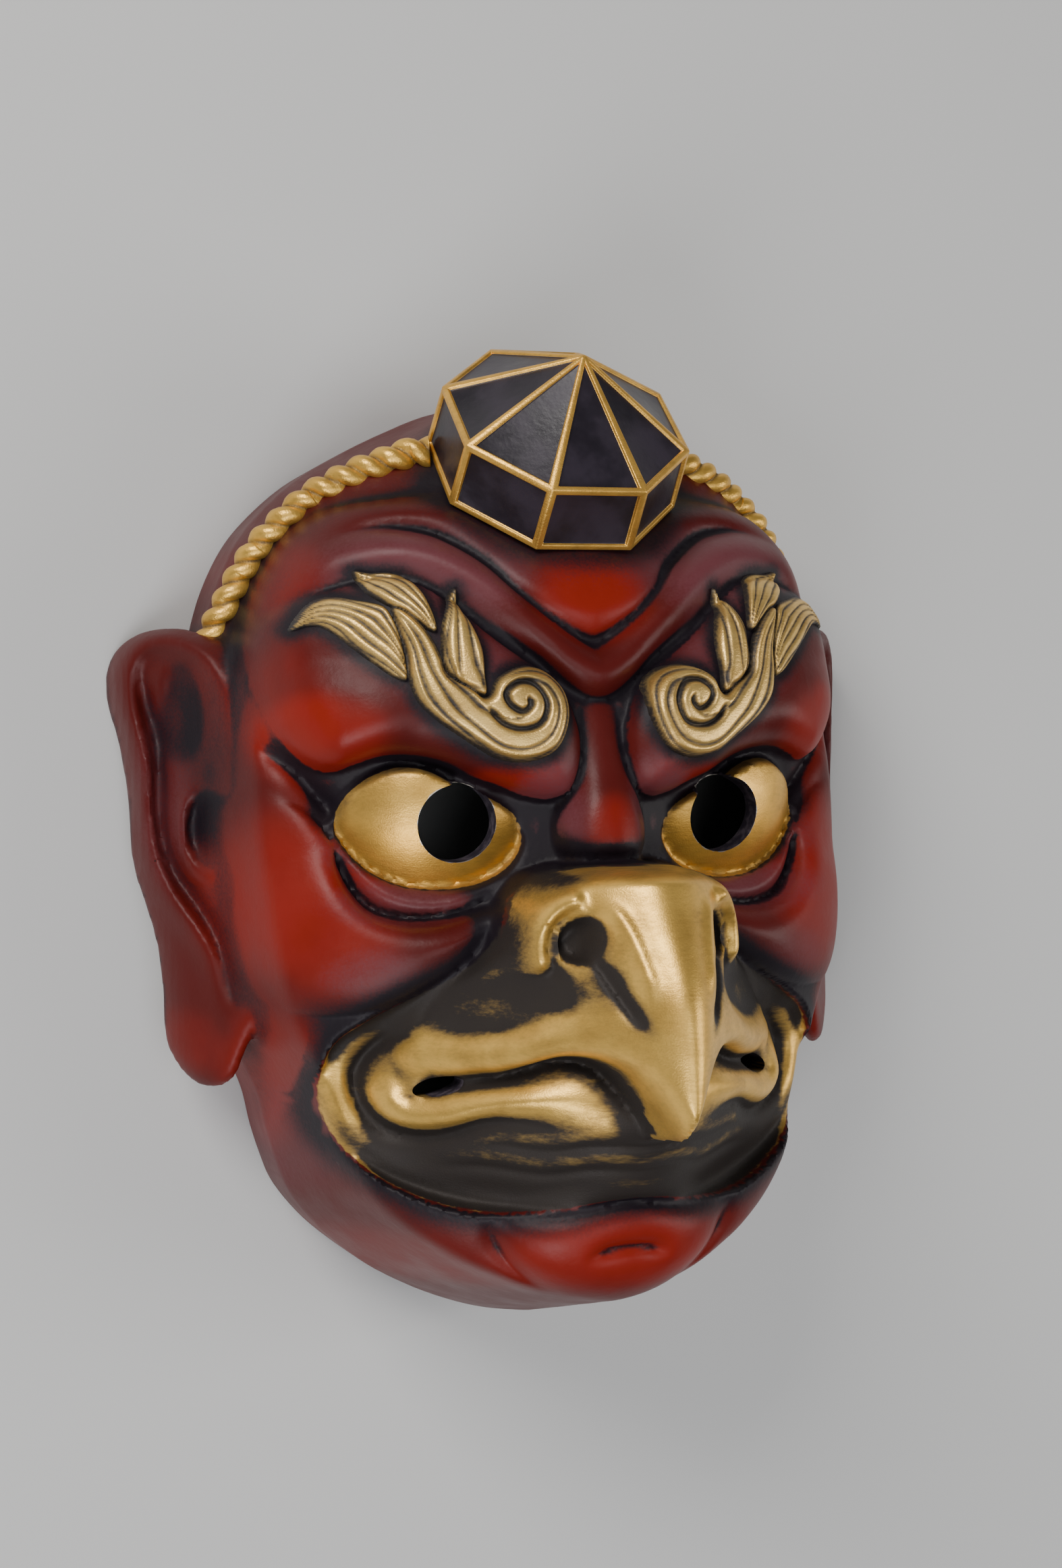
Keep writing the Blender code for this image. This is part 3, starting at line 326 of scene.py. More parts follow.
def beak_and_mouth(H, X, Y):
    # the lower beak and both lips
    low = curve(Y, [(-8, 80), (-40, 88), (-60, 90), (-68, 90.5), (-75, 88), (-82, 83),
                    (-88, 77.5), (-93, 73)])-1.22*(np.sqrt(X*X+400)-20)
    H = H+(low-H)*swell(within(X, Y, MUZZLE), 7)*np.clip((-Y-14)/16, 0, 1)
    # the upper beak: a crest with falling sides
    crest = curve(Y, [(-5, 96), (-13, 102), (-22, 106), (-31, 110.5), (-40, 114), (-50, 115.2),
                      (-60, 115.3), (-66, 115.1), (-74, 114.4), (-80, 113)])
    fall = curve(Y, [(-5, 1.5), (-20, 1.55), (-35, 1.7), (-50, 1.5), (-75, 1.5)])
    round_ = curve(Y, [(-5, 12), (-20, 12), (-35, 8), (-50, 5), (-60, 3.5), (-75, 3)])
    upper = np.maximum(crest-fall*(np.sqrt(X*X+round_**2)-round_), H)
    s = within(X, Y, BEAK)
    H = np.where(s > 0, H+(upper-H)*swell(s, 4.5), H)
    H = ridge(H, X, Y, [(50, -57), (45, -55.5), (38, -55.5), (30, -54), (23, -51), (16, -49.5),
                        (9, -51)], 3.6, 4.2, .1, .5)
    H = H-3.5*dome(X, Y, 30, -43, 17, 8, -25)
    # nostrils, each with its wing and a slit running down
    H = ridge(H, X, Y, [(15.5, -17), (20.6, -19), (24, -23), (25.4, -28), (24.8, -33),
                        (22.5, -37.5)], 4.4, 2.7, .15, .25)
    H = crease(H, X, Y, [(20.5, -37.5), (21.8, -32), (21.4, -26.5), (19, -22.4), (15.5, -21)],
               2.2, 1.2, .1, .3)
    H = ridge(H, X, Y, [(14, -17.5), (10.6, -24), (8.6, -33), (7, -43)], 2, 1.8, .2, .3)
    H = H-8.5*dome(X, Y, 16.6, -27.8, 4.3, 6.6, 18)
    H = crease(H, X, Y, [(16, -30), (13.8, -34.5), (11.8, -39.5), (9.5, -44.6), (7.8, -48)],
               3.2, 0.85, .02, .25)
    # lower lip, outer lip and the creases between
    H = ridge(H, X, Y, [(48, -60.5), (51.5, -65.5), (48.5, -69.8), (42, -69.6), (34, -66.5),
                        (26, -65), (18, -64.5), (10, -66)], 3.4, 3.4, .15, .4)
    H = ridge(H, X, Y, [(50, -47.5), (56.5, -51.5), (60.8, -58), (61, -65), (58.5, -72.5),
                        (53.5, -79), (46, -84), (36, -87), (24, -87.5)], 3, 3.6, .15, .5)
    H = crease(H, X, Y, [(44, -50.2), (49, -51.6), (53.3, -55), (55.9, -59.8), (56.3, -64.6),
                         (54.2, -70), (50.3, -73.8), (44.7, -75.6), (38.6, -74.4),
                         (32.9, -71.4), (27.2, -71), (20, -72), (10, -71.5)], 4, 1.7, .1, .4)
    H = crease(H, X, Y, MOUTH, 5, 1.6, .1, .35)
    H = crease(H, X, Y, [(40, -78), (30, -76.5), (20, -77.5), (10, -76), (-9, -77)],
               1.6, 1.2, .3, 0)
    H = crease(H, X, Y, [(44, -83), (32, -82), (20, -83.5), (10, -82), (-9, -83)],
               1.3, 1.1, .3, 0)
    # chin
    H = H+6*dome(X, Y, 0, -103, 33, 20)
    H = crease(H, X, Y, [(33, -93), (29.5, -100), (26, -105.5), (20.5, -110.5), (14, -114.5),
                         (7, -117), (0, -118), (-8, -117)], 3, 1.8, .2, 0)
    H = crease(H, X, Y, [(-6, -102.6), (0, -101.8), (6, -102.6), (12, -105.2)], 2.8, 1.5, 0, .4)
    return crease(H, X, Y, [(-10, -91.5), (0, -91), (10, -92.8), (20, -94), (33, -94)],
                  1.5, 1.5, 0, .3)


def face_height(X, Y):
    """Outer surface without the eyebrow, X >= 0."""
    bare = bare_head(X, Y)
    H = brow_and_eyes(bare, bare, X, Y)
    return beak_and_mouth(H, X, Y)


def ear_faces(X, Y):
    """Front and back surface of the ear, and the depth inside its outline."""
    s = within(X, Y, EAR)
    T = EAR_THICKNESS/2*math.hypot(1, EAR_LEAN)
    mid = 11-EAR_LEAN*(X-80)
    front = mid+T*swell(s, 4.5)
    front = ridge(front, X, Y, [(80.9, 2.3), (80.6, 11), (80.9, 22.2), (82.1, 34.4),
                                (85.6, 42.2), (90.5, 46.3), (95.5, 46.8), (99.2, 43.8),
                                (100.7, 37.1), (99.6, 26.7), (97.4, 14.2), (96.9, 1.8),
                                (95.6, -8.5), (92.4, -17.7), (87.9, -25.8), (84.3, -33.8),
                                (82.6, -43.9), (82.5, -52)], 5, 2.7, .05, .2)
    front = crease(front, X, Y, [(93.7, 42), (96.1, 38.7), (95.2, 31.7), (93.6, 22.7),
                                 (93.2, 14.9), (93.6, 4.9), (92.8, -4.4), (90.3, -12.5),
                                 (86.1, -20.6), (82.6, -28.6), (80.3, -38.7), (79, -50.7)],
                   5.8, 1.8, .15, .15)
    front = ridge(front, X, Y, [(87.9, 10.9), (89.8, 3), (89.6, -5.6), (86.8, -12.7),
                                (82.4, -11.3)], 3.1, 1.5, .2, .2)
    front = front-4.3*dome(X, Y, 88.8, 27.5, 5.5, 16)-6.2*dome(X, Y, 84.7, -.7, 5, 11)
    return front, mid-T*swell(s, 4.5), s


def surface_nets(F, origin, step):
    """Closed quads round the region where the sampled field F is negative."""
    inside = F < 0
    nx, ny, nz = (n-1 for n in F.shape)
    corner = [(i, j, k) for i in (0, 1) for j in (0, 1) for k in (0, 1)]
    count = sum(inside[i:i+nx, j:j+ny, k:k+nz].astype(np.int8) for i, j, k in corner)
    cells = np.argwhere((count > 0) & (count < 8))
    number = np.full((nx, ny, nz), -1)
    number[tuple(cells.T)] = np.arange(len(cells))
    total = np.zeros((len(cells), 3))
    hits = np.zeros(len(cells))
    for a in corner:
        for axis in range(3):
            if a[axis]:
                continue
            b = tuple(v+(n == axis) for n, v in enumerate(a))
            fa = F[tuple((cells+a).T)]
            fb = F[tuple((cells+b).T)]
            cut = (fa < 0) != (fb < 0)
            t = np.where(cut, fa/np.where(cut, fa-fb, 1), 0)
            spot = np.array(a, float)[None, :]+t[:, None]*np.eye(3)[axis]
            total += spot*cut[:, None]
            hits += cut
    points = origin+(cells+total/hits[:, None])*step
    quads = []
    for axis in range(3):
        u, v = (axis+1) % 3, (axis+2) % 3
        lo = [slice(None)]*3
        hi = [slice(None)]*3
        lo[axis], hi[axis] = slice(None, -1), slice(1, None)
        a, b = inside[tuple(lo)], inside[tuple(hi)]
        edges = np.argwhere(a != b)
        keep = (edges[:, u] > 0) & (edges[:, v] > 0)
        keep &= (edges[:, u] < F.shape[u]-1) & (edges[:, v] < F.shape[v]-1)
        edges = edges[keep]
        du, dv = np.eye(3, dtype=int)[u], np.eye(3, dtype=int)[v]
        ring = [number[tuple((edges-o).T)] for o in (du+dv, dv, 0*du, du)]
        quad = np.stack(ring, 1)
        outward = a[tuple(edges.T)]
        quads.append(np.where(outward[:, None], quad, quad[:, ::-1]))
    return points, np.vstack(quads)


def fill_checkers(F, step):
    """Fills corners that touch only along a grid edge, where a surface would cross itself."""
    for _ in range(12):
        found = 0
        for u, v in ((0, 1), (0, 2), (1, 2)):
            views = []
            for i, j in ((0, 0), (1, 0), (0, 1), (1, 1)):
                cut = [slice(None)]*3
                cut[u] = slice(1, None) if i else slice(None, -1)
                cut[v] = slice(1, None) if j else slice(None, -1)
                views.append(F[tuple(cut)])
            a, b, c, d = (w < 0 for w in views)
            mixed = (a == d) & (b == c) & (a != b)
            found += int(mixed.sum())
            for w in views:
                w[mixed & (w >= 0)] = -0.05*step
        if not found:
            return


def widest(field, reach, step):
    """Smallest value of a height map within a ball of the given reach, less the ball."""
    n = int(math.ceil(reach/step))
    padded = np.pad(field, n, mode="edge")
    out = np.full(field.shape, 1e9)
    for i in range(-n, n+1):
        for j in range(-n, n+1):
            r2 = (i*i+j*j)*step*step
            if r2 <= reach*reach:
                part = padded[n+i:n+i+field.shape[0], n+j:n+j+field.shape[1]]
                out = np.minimum(out, part-math.sqrt(reach*reach-r2))
    return out


def blurred(field, sigma):
    """Gaussian blur of a height map, sigma in grid steps."""
    n = int(3*sigma)
    weights = np.exp(-0.5*(np.arange(-n, n+1)/sigma)**2)
    weights /= weights.sum()
    for axis in (0, 1):
        pad = [(n, n) if a == axis else (0, 0) for a in (0, 1)]
        p = np.pad(field, pad, mode="edge")
        size = field.shape[axis]
        field = sum(w*np.take(p, range(k, k+size), axis) for k, w in enumerate(weights))
    return field


def shell_field(x, y, z, outer):
    """Sampled field, negative in the material of the face and ears."""
    step = x[1]-x[0]
    X, Y = np.meshgrid(np.abs(x), y, indexing="ij")
    floor = widest(outer, WALL, step)
    inner = np.minimum(blurred(widest(outer, WALL+.8, step), 2.4/step), floor)
    front, back, s = ear_faces(X, Y)
    edge = rim_depth(X, Y)

    def steep(h):
        gx, gy = np.gradient(h, step)
        return np.sqrt(1+gx*gx+gy*gy)[..., None]
    F = np.maximum((z-outer[..., None])/steep(outer), -edge[..., None])
    ear = np.maximum(z-front[..., None], back[..., None]-z)/math.hypot(1, EAR_LEAN)
    ear = np.maximum(ear, -s[..., None])
    F = smooth_min(F, ear, 1.5)
    hollow = np.maximum((z-inner[..., None])/steep(inner), (WALL-edge)[..., None])
    F = np.maximum(F, -hollow)
    for axis in range(3):
        last = F.shape[axis]-1
        index = np.arange(last+1)
        before, after = np.maximum(index-1, 0), np.minimum(index+1, last)
        F = 0.5*F+0.25*(np.take(F, before, axis)+np.take(F, after, axis))
    F[:, :, 0] = step
    fill_checkers(F, step)
    return F


def solid(name, points, faces, *materials):
    """A mesh object from drawn millimetres."""
    mesh = bpy.data.meshes.new(name)
    moved = (np.asarray(points, float)+(0, SHIFT, SIDE))*0.001
    mesh.from_pydata([tuple(p) for p in moved], [], faces)
    bm = bmesh.new()
    bm.from_mesh(mesh)
    bmesh.ops.recalc_face_normals(bm, faces=bm.faces)
    bm.to_mesh(mesh)
    bm.free()
    piece = bpy.data.objects.new(name, mesh)
    bpy.context.scene.collection.objects.link(piece)
    for material in materials:
        mesh.materials.append(material)
    return piece


def apply_all(piece):
    """Replaces the piece's mesh by what its modifiers make of it."""
    graph = bpy.context.evaluated_depsgraph_get()
    mesh = bpy.data.meshes.new_from_object(piece.evaluated_get(graph))
    piece.modifiers.clear()
    piece.data = mesh


def cut(piece, other):
    """Takes the other solid away from the piece."""
    mod = piece.modifiers.new("Cut", "BOOLEAN")
    mod.operation = "DIFFERENCE"
    mod.object = other
    mod.solver = "EXACT"
    apply_all(piece)
    bpy.data.objects.remove(other)


def drawn(mesh):
    """Vertex positions of a mesh in drawn millimetres."""
    co = np.empty(3*len(mesh.vertices))
    mesh.vertices.foreach_get("co", co)
    return co.reshape(-1, 3)*1000-(0, SHIFT, SIDE)


def place_back(mesh, points):
    """Moves the vertices to drawn millimetres."""
    mesh.vertices.foreach_set("co", ((points+(0, SHIFT, SIDE))*0.001).ravel())
    mesh.update()


def facing(mesh):
    """Vertex normals."""
    n = np.empty(3*len(mesh.vertices))
    mesh.vertex_normals.foreach_get("vector", n)
    return n.reshape(-1, 3)


def read_map(field, x, y, px, py):
    """Bilinear reading of a height map at points."""
    u = np.clip((px-x[0])/(x[1]-x[0]), 0, len(x)-1.001)
    v = np.clip((py-y[0])/(y[1]-y[0]), 0, len(y)-1.001)
    i, j = u.astype(int), v.astype(int)
    a, b = u-i, v-j
    return ((1-a)*(1-b)*field[i, j]+a*(1-b)*field[i+1, j]
            + (1-a)*b*field[i, j+1]+a*b*field[i+1, j+1])


def paint(mesh, name, values):
    """Keeps one number a vertex, for the materials to read."""
    layer = mesh.attributes.new(name, "FLOAT", "POINT")
    layer.data.foreach_set("value", np.asarray(values, np.float32))


def cutter(name, rings):
    """A closed solid between two rings of points."""
    sides = len(rings[0])
    faces = [(k, (k+1) % sides, sides+(k+1) % sides, sides+k) for k in range(sides)]
    faces += [tuple(range(sides))[::-1], tuple(range(sides, 2*sides))]
    return solid(name, [tuple(p) for ring in rings for p in ring], faces)


def pupil(sign):
    """Middle of a bored pupil and the direction of its bore."""
    return Vector((sign*PUPIL_SPACING/2, -1.2, 62)), Vector((sign*0.06, -0.1, 1)).normalized()


def bore_cutter(sign, sides=64):
    middle, axis = pupil(sign)
    side = axis.cross(Vector((0, 1, 0))).normalized()*PUPIL_BORE/2
    up = side.cross(axis)
    turns = [2*math.pi*k/sides for k in range(sides)]
    return cutter("bore", [[middle+axis*reach+side*math.cos(t)+up*math.sin(t) for t in turns]
                           for reach in (-30, 10)])


def slot_cutter(sign, sides=32):
    """The gap at a corner of the mouth, a flat ellipse cut straight down."""
    outer, inner = Vector((46.3, -64.3)), Vector((36, -61.2))
    middle, along = (outer+inner)/2, (inner-outer)/2
    across = Vector((-along.y, along.x)).normalized()*SLOT_HEIGHT/2
    turns = [2*math.pi*k/sides for k in range(sides)]
    edge = [middle+along*math.cos(t)+across*math.sin(t) for t in turns]
    return cutter("slot", [[(sign*p.x, p.y, z) for p in edge] for z in (25, 75)])


# The cap sits on the crown, its axis leaning forward by half a right angle
CAP_ACROSS, CAP_WALL_HEIGHT, CAP_ROOF_HEIGHT = 63.2, 17.4, 18.8
CAP_CENTRE = Vector((0, 97.8, 48.5))
CAP_AXIS = Vector((0, 1, 1)).normalized()
CAP_FRONT = Vector((0, -1, 1)).normalized()


def cap_point(radius, turn, height):
    """Point at a radius and turn about the cap's axis, above its eave."""
    side = Vector((1, 0, 0))
    spoke = side*math.sin(turn)+CAP_FRONT*math.cos(turn)
    return CAP_CENTRE+spoke*radius+CAP_AXIS*height


def cap_body(radius, eave, roof, bottom, flare):
    """Octagonal prism under an eight-sided roof."""
    turns = [math.radians(22.5+45*k) for k in range(8)]
    points = [cap_point(radius+flare, t, bottom) for t in turns]
    points += [cap_point(radius, t, eave) for t in turns]
    points += [cap_point(0, 0, roof), cap_point(0, 0, bottom)]
    faces = []
    for k in range(8):
        n = (k+1) % 8
        faces += [(k, n, 8+n, 8+k), (8+k, 8+n, 16), (n, k, 17)]
    return points, faces


FACE_STEP = 1.1
half_steps = int(112/FACE_STEP)
grid_x = np.arange(-half_steps, half_steps+1)*FACE_STEP
grid_y = np.arange(int(-144/FACE_STEP), int(120/FACE_STEP)+1)*FACE_STEP
grid_z = np.arange(-int(SIDE/FACE_STEP)-4, int(122/FACE_STEP)+1)*FACE_STEP
outer = face_height(*np.meshgrid(grid_x[half_steps:], grid_y, indexing="ij"))
outer = np.vstack([outer[:0:-1], outer])
points, quads = surface_nets(shell_field(grid_x, grid_y, grid_z, outer),
                             np.array([grid_x[0], grid_y[0], grid_z[0]]), FACE_STEP)
face = solid("face", points, [tuple(int(i) for i in q) for q in quads])

# The outer surface is drawn again at full sharpness where it isn't steep
spots = drawn(face.data)
normals = facing(face.data)
px, py = np.abs(spots[:, 0]), spots[:, 1]
true = face_height(px, py)
ear_depth = ear_faces(px, py)[2]
gap = true-spots[:, 2]
flat_share = np.clip((normals[:, 2]-0.3)/0.35, 0, 1)*np.clip(-ear_depth/2-0.5, 0, 1)
spots[:, 2] += np.clip(gap, -0.4, 0.4)*flat_share*np.clip(2.6-gap, 0, 1)
low, high = (np.array(corner)*1000-(0, SHIFT, SIDE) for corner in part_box("mask"))
spots = np.clip(spots, low+0.01, high-0.01)
place_back(face.data, spots)

# The unseen inside, the side wall and the scalp are plain, so they keep fewer facets
edge = rim_depth(px, py)
carved = (within(px, py, FACE, 12) > -4) & (edge > 8) & (gap < 3.5)
ear = (edge < -1) | (ear_depth > -2) & (normals[:, 2] > 0.1) & (gap < 2)
plain = face.vertex_groups.new(name="plain")
plain.add([int(i) for i in np.flatnonzero(~carved & ~ear)], 1.0, "REPLACE")
thin = face.modifiers.new("Fewer facets", "DECIMATE")
thin.vertex_group = "plain"
thin.ratio = 0.49
apply_all(face)

# Bored pupils, mouth slots and the open crown under the cap
for sign in (1, -1):
    cut(face, bore_cutter(sign))
    cut(face, slot_cutter(sign))
hollow_points, hollow_faces = cap_body(CAP_ACROSS/2-WALL, -1, CAP_ROOF_HEIGHT-WALL*1.25,
                                       -CAP_WALL_HEIGHT-14, -3)
cut(face, solid("hollow", hollow_points, hollow_faces))
below = [(x, y, z) for x in (-150, 150) for y in (-200, 200) for z in (-60, -SIDE)]
cut(face, solid("below", below, [(0, 1, 3, 2), (4, 6, 7, 5), (0, 4, 5, 1), (2, 3, 7, 6),
                                 (0, 2, 6, 4), (1, 5, 7, 3)]))

# Masks for the paint, worked out at each point of the finished surface
spots = drawn(face.data)
px, py, pz = np.abs(spots[:, 0]), spots[:, 1], spots[:, 2]
MAP_STEP = 0.6
map_steps = int(112/MAP_STEP)
map_x = np.arange(-map_steps, map_steps+1)*MAP_STEP
map_y = np.arange(int(-144/MAP_STEP), int(120/MAP_STEP)+1)*MAP_STEP
X, Y = np.meshgrid(map_x[map_steps:], map_y, indexing="ij")
ear_top, _, ear_depth = ear_faces(X, Y)
skyline = face_height(X, Y)
skyline = np.where(ear_depth > 0, np.maximum(skyline, ear_top), skyline)
skyline = np.maximum(np.vstack([skyline[:0:-1], skyline]), -SIDE)


def hollowness(sigma):
    """How far the surface lies below its own blur, at each vertex."""
    return read_map(blurred(skyline, sigma/MAP_STEP)-skyline, map_x, map_y, spots[:, 0], py)


def step_up(value, low, high):
    """0 below low, 1 above high, eased between."""
    t = np.clip((value-low)/(high-low), 0, 1)
    return t*t*(3-2*t)


def halo(depth, width):
    """1 inside an outline, falling off outside it."""
    return np.exp(-(np.maximum(-depth, 0)/width)**2)


def bands(*strokes):
    """Sum of soft strokes, each with its strength, width and path."""
    return sum(strength*np.exp(-(nearest(px, py, spline(path), 3*width)[0]/width)**2)
               for strength, width, path in strokes)


def patches(*spray):
    """Sum of soft ellipses, each with its strength, middle, radii and turn."""
    return sum(strength*dome(px, py, *shape) for strength, *shape in spray)


def from_bore(points, sign):
    """Distance of points from the axis of a pupil's bore."""
    middle, axis = (np.array(v) for v in pupil(sign))
    arm = points-middle
    return np.linalg.norm(arm-np.outer(arm @ axis, axis), axis=1)


fine, medium, wide = hollowness(2.0), hollowness(3.5), hollowness(8)
eye = within(px, py, EYE)
muzzle = within(px, py, MUZZLE)
cap_spoke = spots-np.array(CAP_CENTRE)
along_cap = cap_spoke @ np.array(CAP_AXIS)
from_cap = np.sqrt(np.maximum((cap_spoke**2).sum(1)-along_cap**2, 0))-31

# Soot: black in the hollows and round the gold, thin on the side wall and the ears, partly
# the mask's own sprayed black and partly painted shade
spray_and_shade = 0.65*step_up(medium, 0.2, 1.8)+0.4*step_up(wide, 1.0, 4.5)+0.35*step_up(fine, 0.2, 0.9)
ear_side = within(px, py, EAR, 9) > -2
temple = step_up(rim_depth(px, py), 4, 16)
spray_and_shade = spray_and_shade*np.where(ear_side & (temple < 0.1), 0.35, 0.35+0.65*temple)
spray_and_shade = spray_and_shade+0.95*halo(muzzle, 5)*(muzzle < 0)+0.65*halo(eye, 2.6)*(eye < 0)
# A band along the foot of the cheek: painted shade under it
spray_and_shade = spray_and_shade+temple*bands((0.5, 5, [(86, -30), (80, -38), (75, -43.5), (69, -45.5), (58.5, -45.3),
                                   (50, -42.5), (43, -39), (36, -35)]))
# Along the edge of the face and round the foot of the cap: painted shade
spray_and_shade = spray_and_shade+bands((0.4, 5, FACE[2:12]))+0.75*halo(-from_cap, 6)
# Darker in the ear's upper hollow, beside the nose and at the eye's outer corner, lighter under
# the eye: painted shade
spray_and_shade = spray_and_shade+patches((0.3, 88.5, 27, 9, 24), (0.8, 17, -11, 13, 8), (0.6, 62, 3, 7, 8, 40),
                    (-0.6, 45, -19, 22, 8))
# A dark line round each eyebrow lock: painted shadow of the lock
for leaf in LEAVES:
    spray_and_shade = np.maximum(spray_and_shade, 0.9*halo(within(px, py, leaf, 9), 3.0))

# Glow: brighter red misted on the masses, partly painted highlight. Haze: grey violet
# between them, partly painted sheen.
red_and_highlight = patches((0.9, 68, -18, 26, 30), (0.95, 64, 19, 18, 15), (0.9, 22, 9, 14, 7),
               (0.5, 18, 8, 16, 8), (0.5, 72, 30, 12, 18), (1, 0, 53, 20, 15),
               (0.5, 69, 60, 11, 15), (0.9, 0, -3, 9, 11), (0.9, 4, -103, 30, 14),
               (0.45, 40, -108, 30, 14), (0.8, 74, -66, 13, 28), (0.4, 90, -54, 9, 12),
               (0.35, 84, 30, 7, 16))
violet_and_sheen = patches((0.9, 38, 60, 34, 17), (0.7, 35, 36, 26, 16), (0.7, 48, -19, 24, 9),
               (0.5, 66, -78, 12, 24), (0.2, 0, 60, 16, 12), (0.5, 55, -36, 16, 9),
               (0.9, 14, 2, 12, 20), (0.5, 60, -6, 10, 10), (0.45, 93, 10, 9, 34),
               (0.2, 80, 66, 16, 22))

# Gold: eyes, beak and lips. Wash: how much black is left on the gold, more in the hollows and
# less on the crests, partly the paint's own wash and partly painted shade and highlight.
gold = np.maximum(np.clip(eye/0.5+0.5, 0, 1), np.clip(muzzle/1.5+0.2, 0, 1))
wash_and_shade = 0.22+0.9*step_up(medium, -0.4, 1.0)+0.5*step_up(fine, 0.0, 0.7)
wash_and_shade = wash_and_shade-0.8*step_up(-medium, 0.1, 1.2)+1.5*step_up(-py, 66, 76)*step_up(muzzle, 0, 3)
wash_and_shade = wash_and_shade+0.85*halo(-muzzle, 3)
wash_and_shade = wash_and_shade+patches((0.45, 37, -42, 18, 9, -25), (0.9, 31, -30, 12, 13), (0.3, 11, -36, 8, 20),
                    (1.3, 16.6, -27.8, 5, 7.5, 18), (0.5, 12.5, -32, 4, 10, 15),
                    (1.1, 19, -38.5, 9, 8), (0.4, 24, -66, 20, 7))
wash_and_shade = wash_and_shade+bands((1.0, 2.2, [(16, -30), (13.8, -34.5), (11.8, -39.5), (9.5, -44.6), (7.8, -48)]),
                  (0.75, 1.2, [(20.5, -37.5), (21.8, -32), (21.4, -26.5), (19, -22.4),
                               (15.5, -21)]),
                  (1.0, 2.6, [(17, -13.5), (23, -15), (28, -19.5), (29.5, -27), (28.5, -34),
                              (25.5, -40.5)]),
                  (0.45, 4.5, [(0, -12), (10, -12.5), (19, -14.5)]))
# On the eyes the black gathers at the outline and towards the top under the lid: painted shadow of
# the lid
wash_and_shade = np.where(eye > -1, 0.75*halo(-eye, 1.6)+0.25*step_up(py, 6, 14), wash_and_shade)
# More orange towards the bottom of each eye: painted reflection
eye_low_reflection = (eye > -1)*(0.25+0.75*step_up(-py, -5, 7))
to_bore = np.minimum(*(np.abs(from_bore(spots, sign)-PUPIL_BORE/2) for sign in (1, -1)))
chips = np.exp(-(to_bore/0.45)**2)*(pz > 40)
for name, values in (("spray_and_shade", spray_and_shade), ("red_and_highlight", red_and_highlight), ("violet_and_sheen", violet_and_sheen), ("gold", gold),
                     ("wash_and_shade", wash_and_shade), ("chips", chips), ("eye_low_reflection", eye_low_reflection)):
    paint(face.data, name, np.clip(values, 0, 1.9))


def put(tree, kind, settings=(), inputs=()):
    """A new node with its settings made and its inputs set or linked."""
    made = tree.nodes.new(kind)
    for key, value in dict(settings).items():
        setattr(made, key, value)
    for key, value in dict(inputs).items():
        if isinstance(value, bpy.types.NodeSocket):
            tree.links.new(value, made.inputs[key])
        else:
            made.inputs[key].default_value = value
    return made


def calc(tree, operation, a, b=0.0):
    made = put(tree, "ShaderNodeMath", {"operation": operation}, {0: a, 1: b})
    return made.outputs[0]


def mix_color(tree, share, a, b):
    made = put(tree, "ShaderNodeMix", {"data_type": "RGBA"}, {0: share, 6: a, 7: b})
    return made.outputs[2]


def mix_value(tree, share, a, b):
    made = put(tree, "ShaderNodeMix", {"data_type": "FLOAT"}, {0: share, 2: a, 3: b})
    return made.outputs[0]


def span(tree, value, low, high, new_low=0.0, new_high=1.0):
    made = put(tree, "ShaderNodeMapRange", {"interpolation_type": "SMOOTHSTEP"},
               {0: value, 1: low, 2: high, 3: new_low, 4: new_high})
    return made.outputs[0]


def place(tree):
    """Position on the piece, in metres."""
    return put(tree, "ShaderNodeTexCoord").outputs["Object"]


def noise(tree, where, scale, detail=2.0, roughness=0.5):
    made = put(tree, "ShaderNodeTexNoise", {"noise_dimensions": "3D"},
               {"Vector": where, "Scale": scale, "Detail": detail, "Roughness": roughness})
    return made.outputs[0]


def swing(tree, value, amount):
    """A noise moved to swing about 0 by the amount."""
    return calc(tree, "MULTIPLY", calc(tree, "SUBTRACT", value, 0.5), amount)


def new_group(name, inputs, outputs):
    group = bpy.data.node_groups.new(name, "ShaderNodeTree")
    for label, kind, value in inputs:
        socket = group.interface.new_socket(name=label, in_out="INPUT", socket_type=kind)
        socket.default_value = value
    for label, kind in outputs:
        group.interface.new_socket(name=label, in_out="OUTPUT", socket_type=kind)
    return group, group.nodes.new("NodeGroupInput"), group.nodes.new("NodeGroupOutput")


# Airbrushed lacquer: red misted over red, dulled with grey violet, then shaded with black; the
# brighter red is partly painted highlight, the grey violet partly painted sheen, the black
# partly painted shade
airbrush, given, result = new_group(
    "airbrushed lacquer",
    [("Spray And Shade", "NodeSocketFloat", 0.0), ("Red And Highlight", "NodeSocketFloat", 0.0),
     ("Violet And Sheen", "NodeSocketFloat", 0.0)],
    [("Color", "NodeSocketColor"), ("Height", "NodeSocketFloat"),
     ("Roughness", "NodeSocketFloat")])
where = place(airbrush)
cloud = noise(airbrush, where, 55, 3, 0.6)
mist = noise(airbrush, where, 1400, 1, 0.5)
peel = noise(airbrush, where, 420, 2, 0.5)
drift = swing(airbrush, cloud, 0.5)
loose = calc(airbrush, "ADD", drift, swing(airbrush, mist, 0.35))
stirred_red_highlight, stirred_violet_sheen, stirred_spray_shade = (calc(airbrush, "ADD", given.outputs[mask], stir)
                        for mask, stir in (("Red And Highlight", drift), ("Violet And Sheen", loose), ("Spray And Shade", loose)))
red_highlight_share = span(airbrush, stirred_red_highlight, -0.05, 1.15)
violet_sheen_share = span(airbrush, stirred_violet_sheen, 0.1, 1.1, 0, 0.85)
spray_shade_share = span(airbrush, stirred_spray_shade, 0.08, 0.95, 0, 0.97)
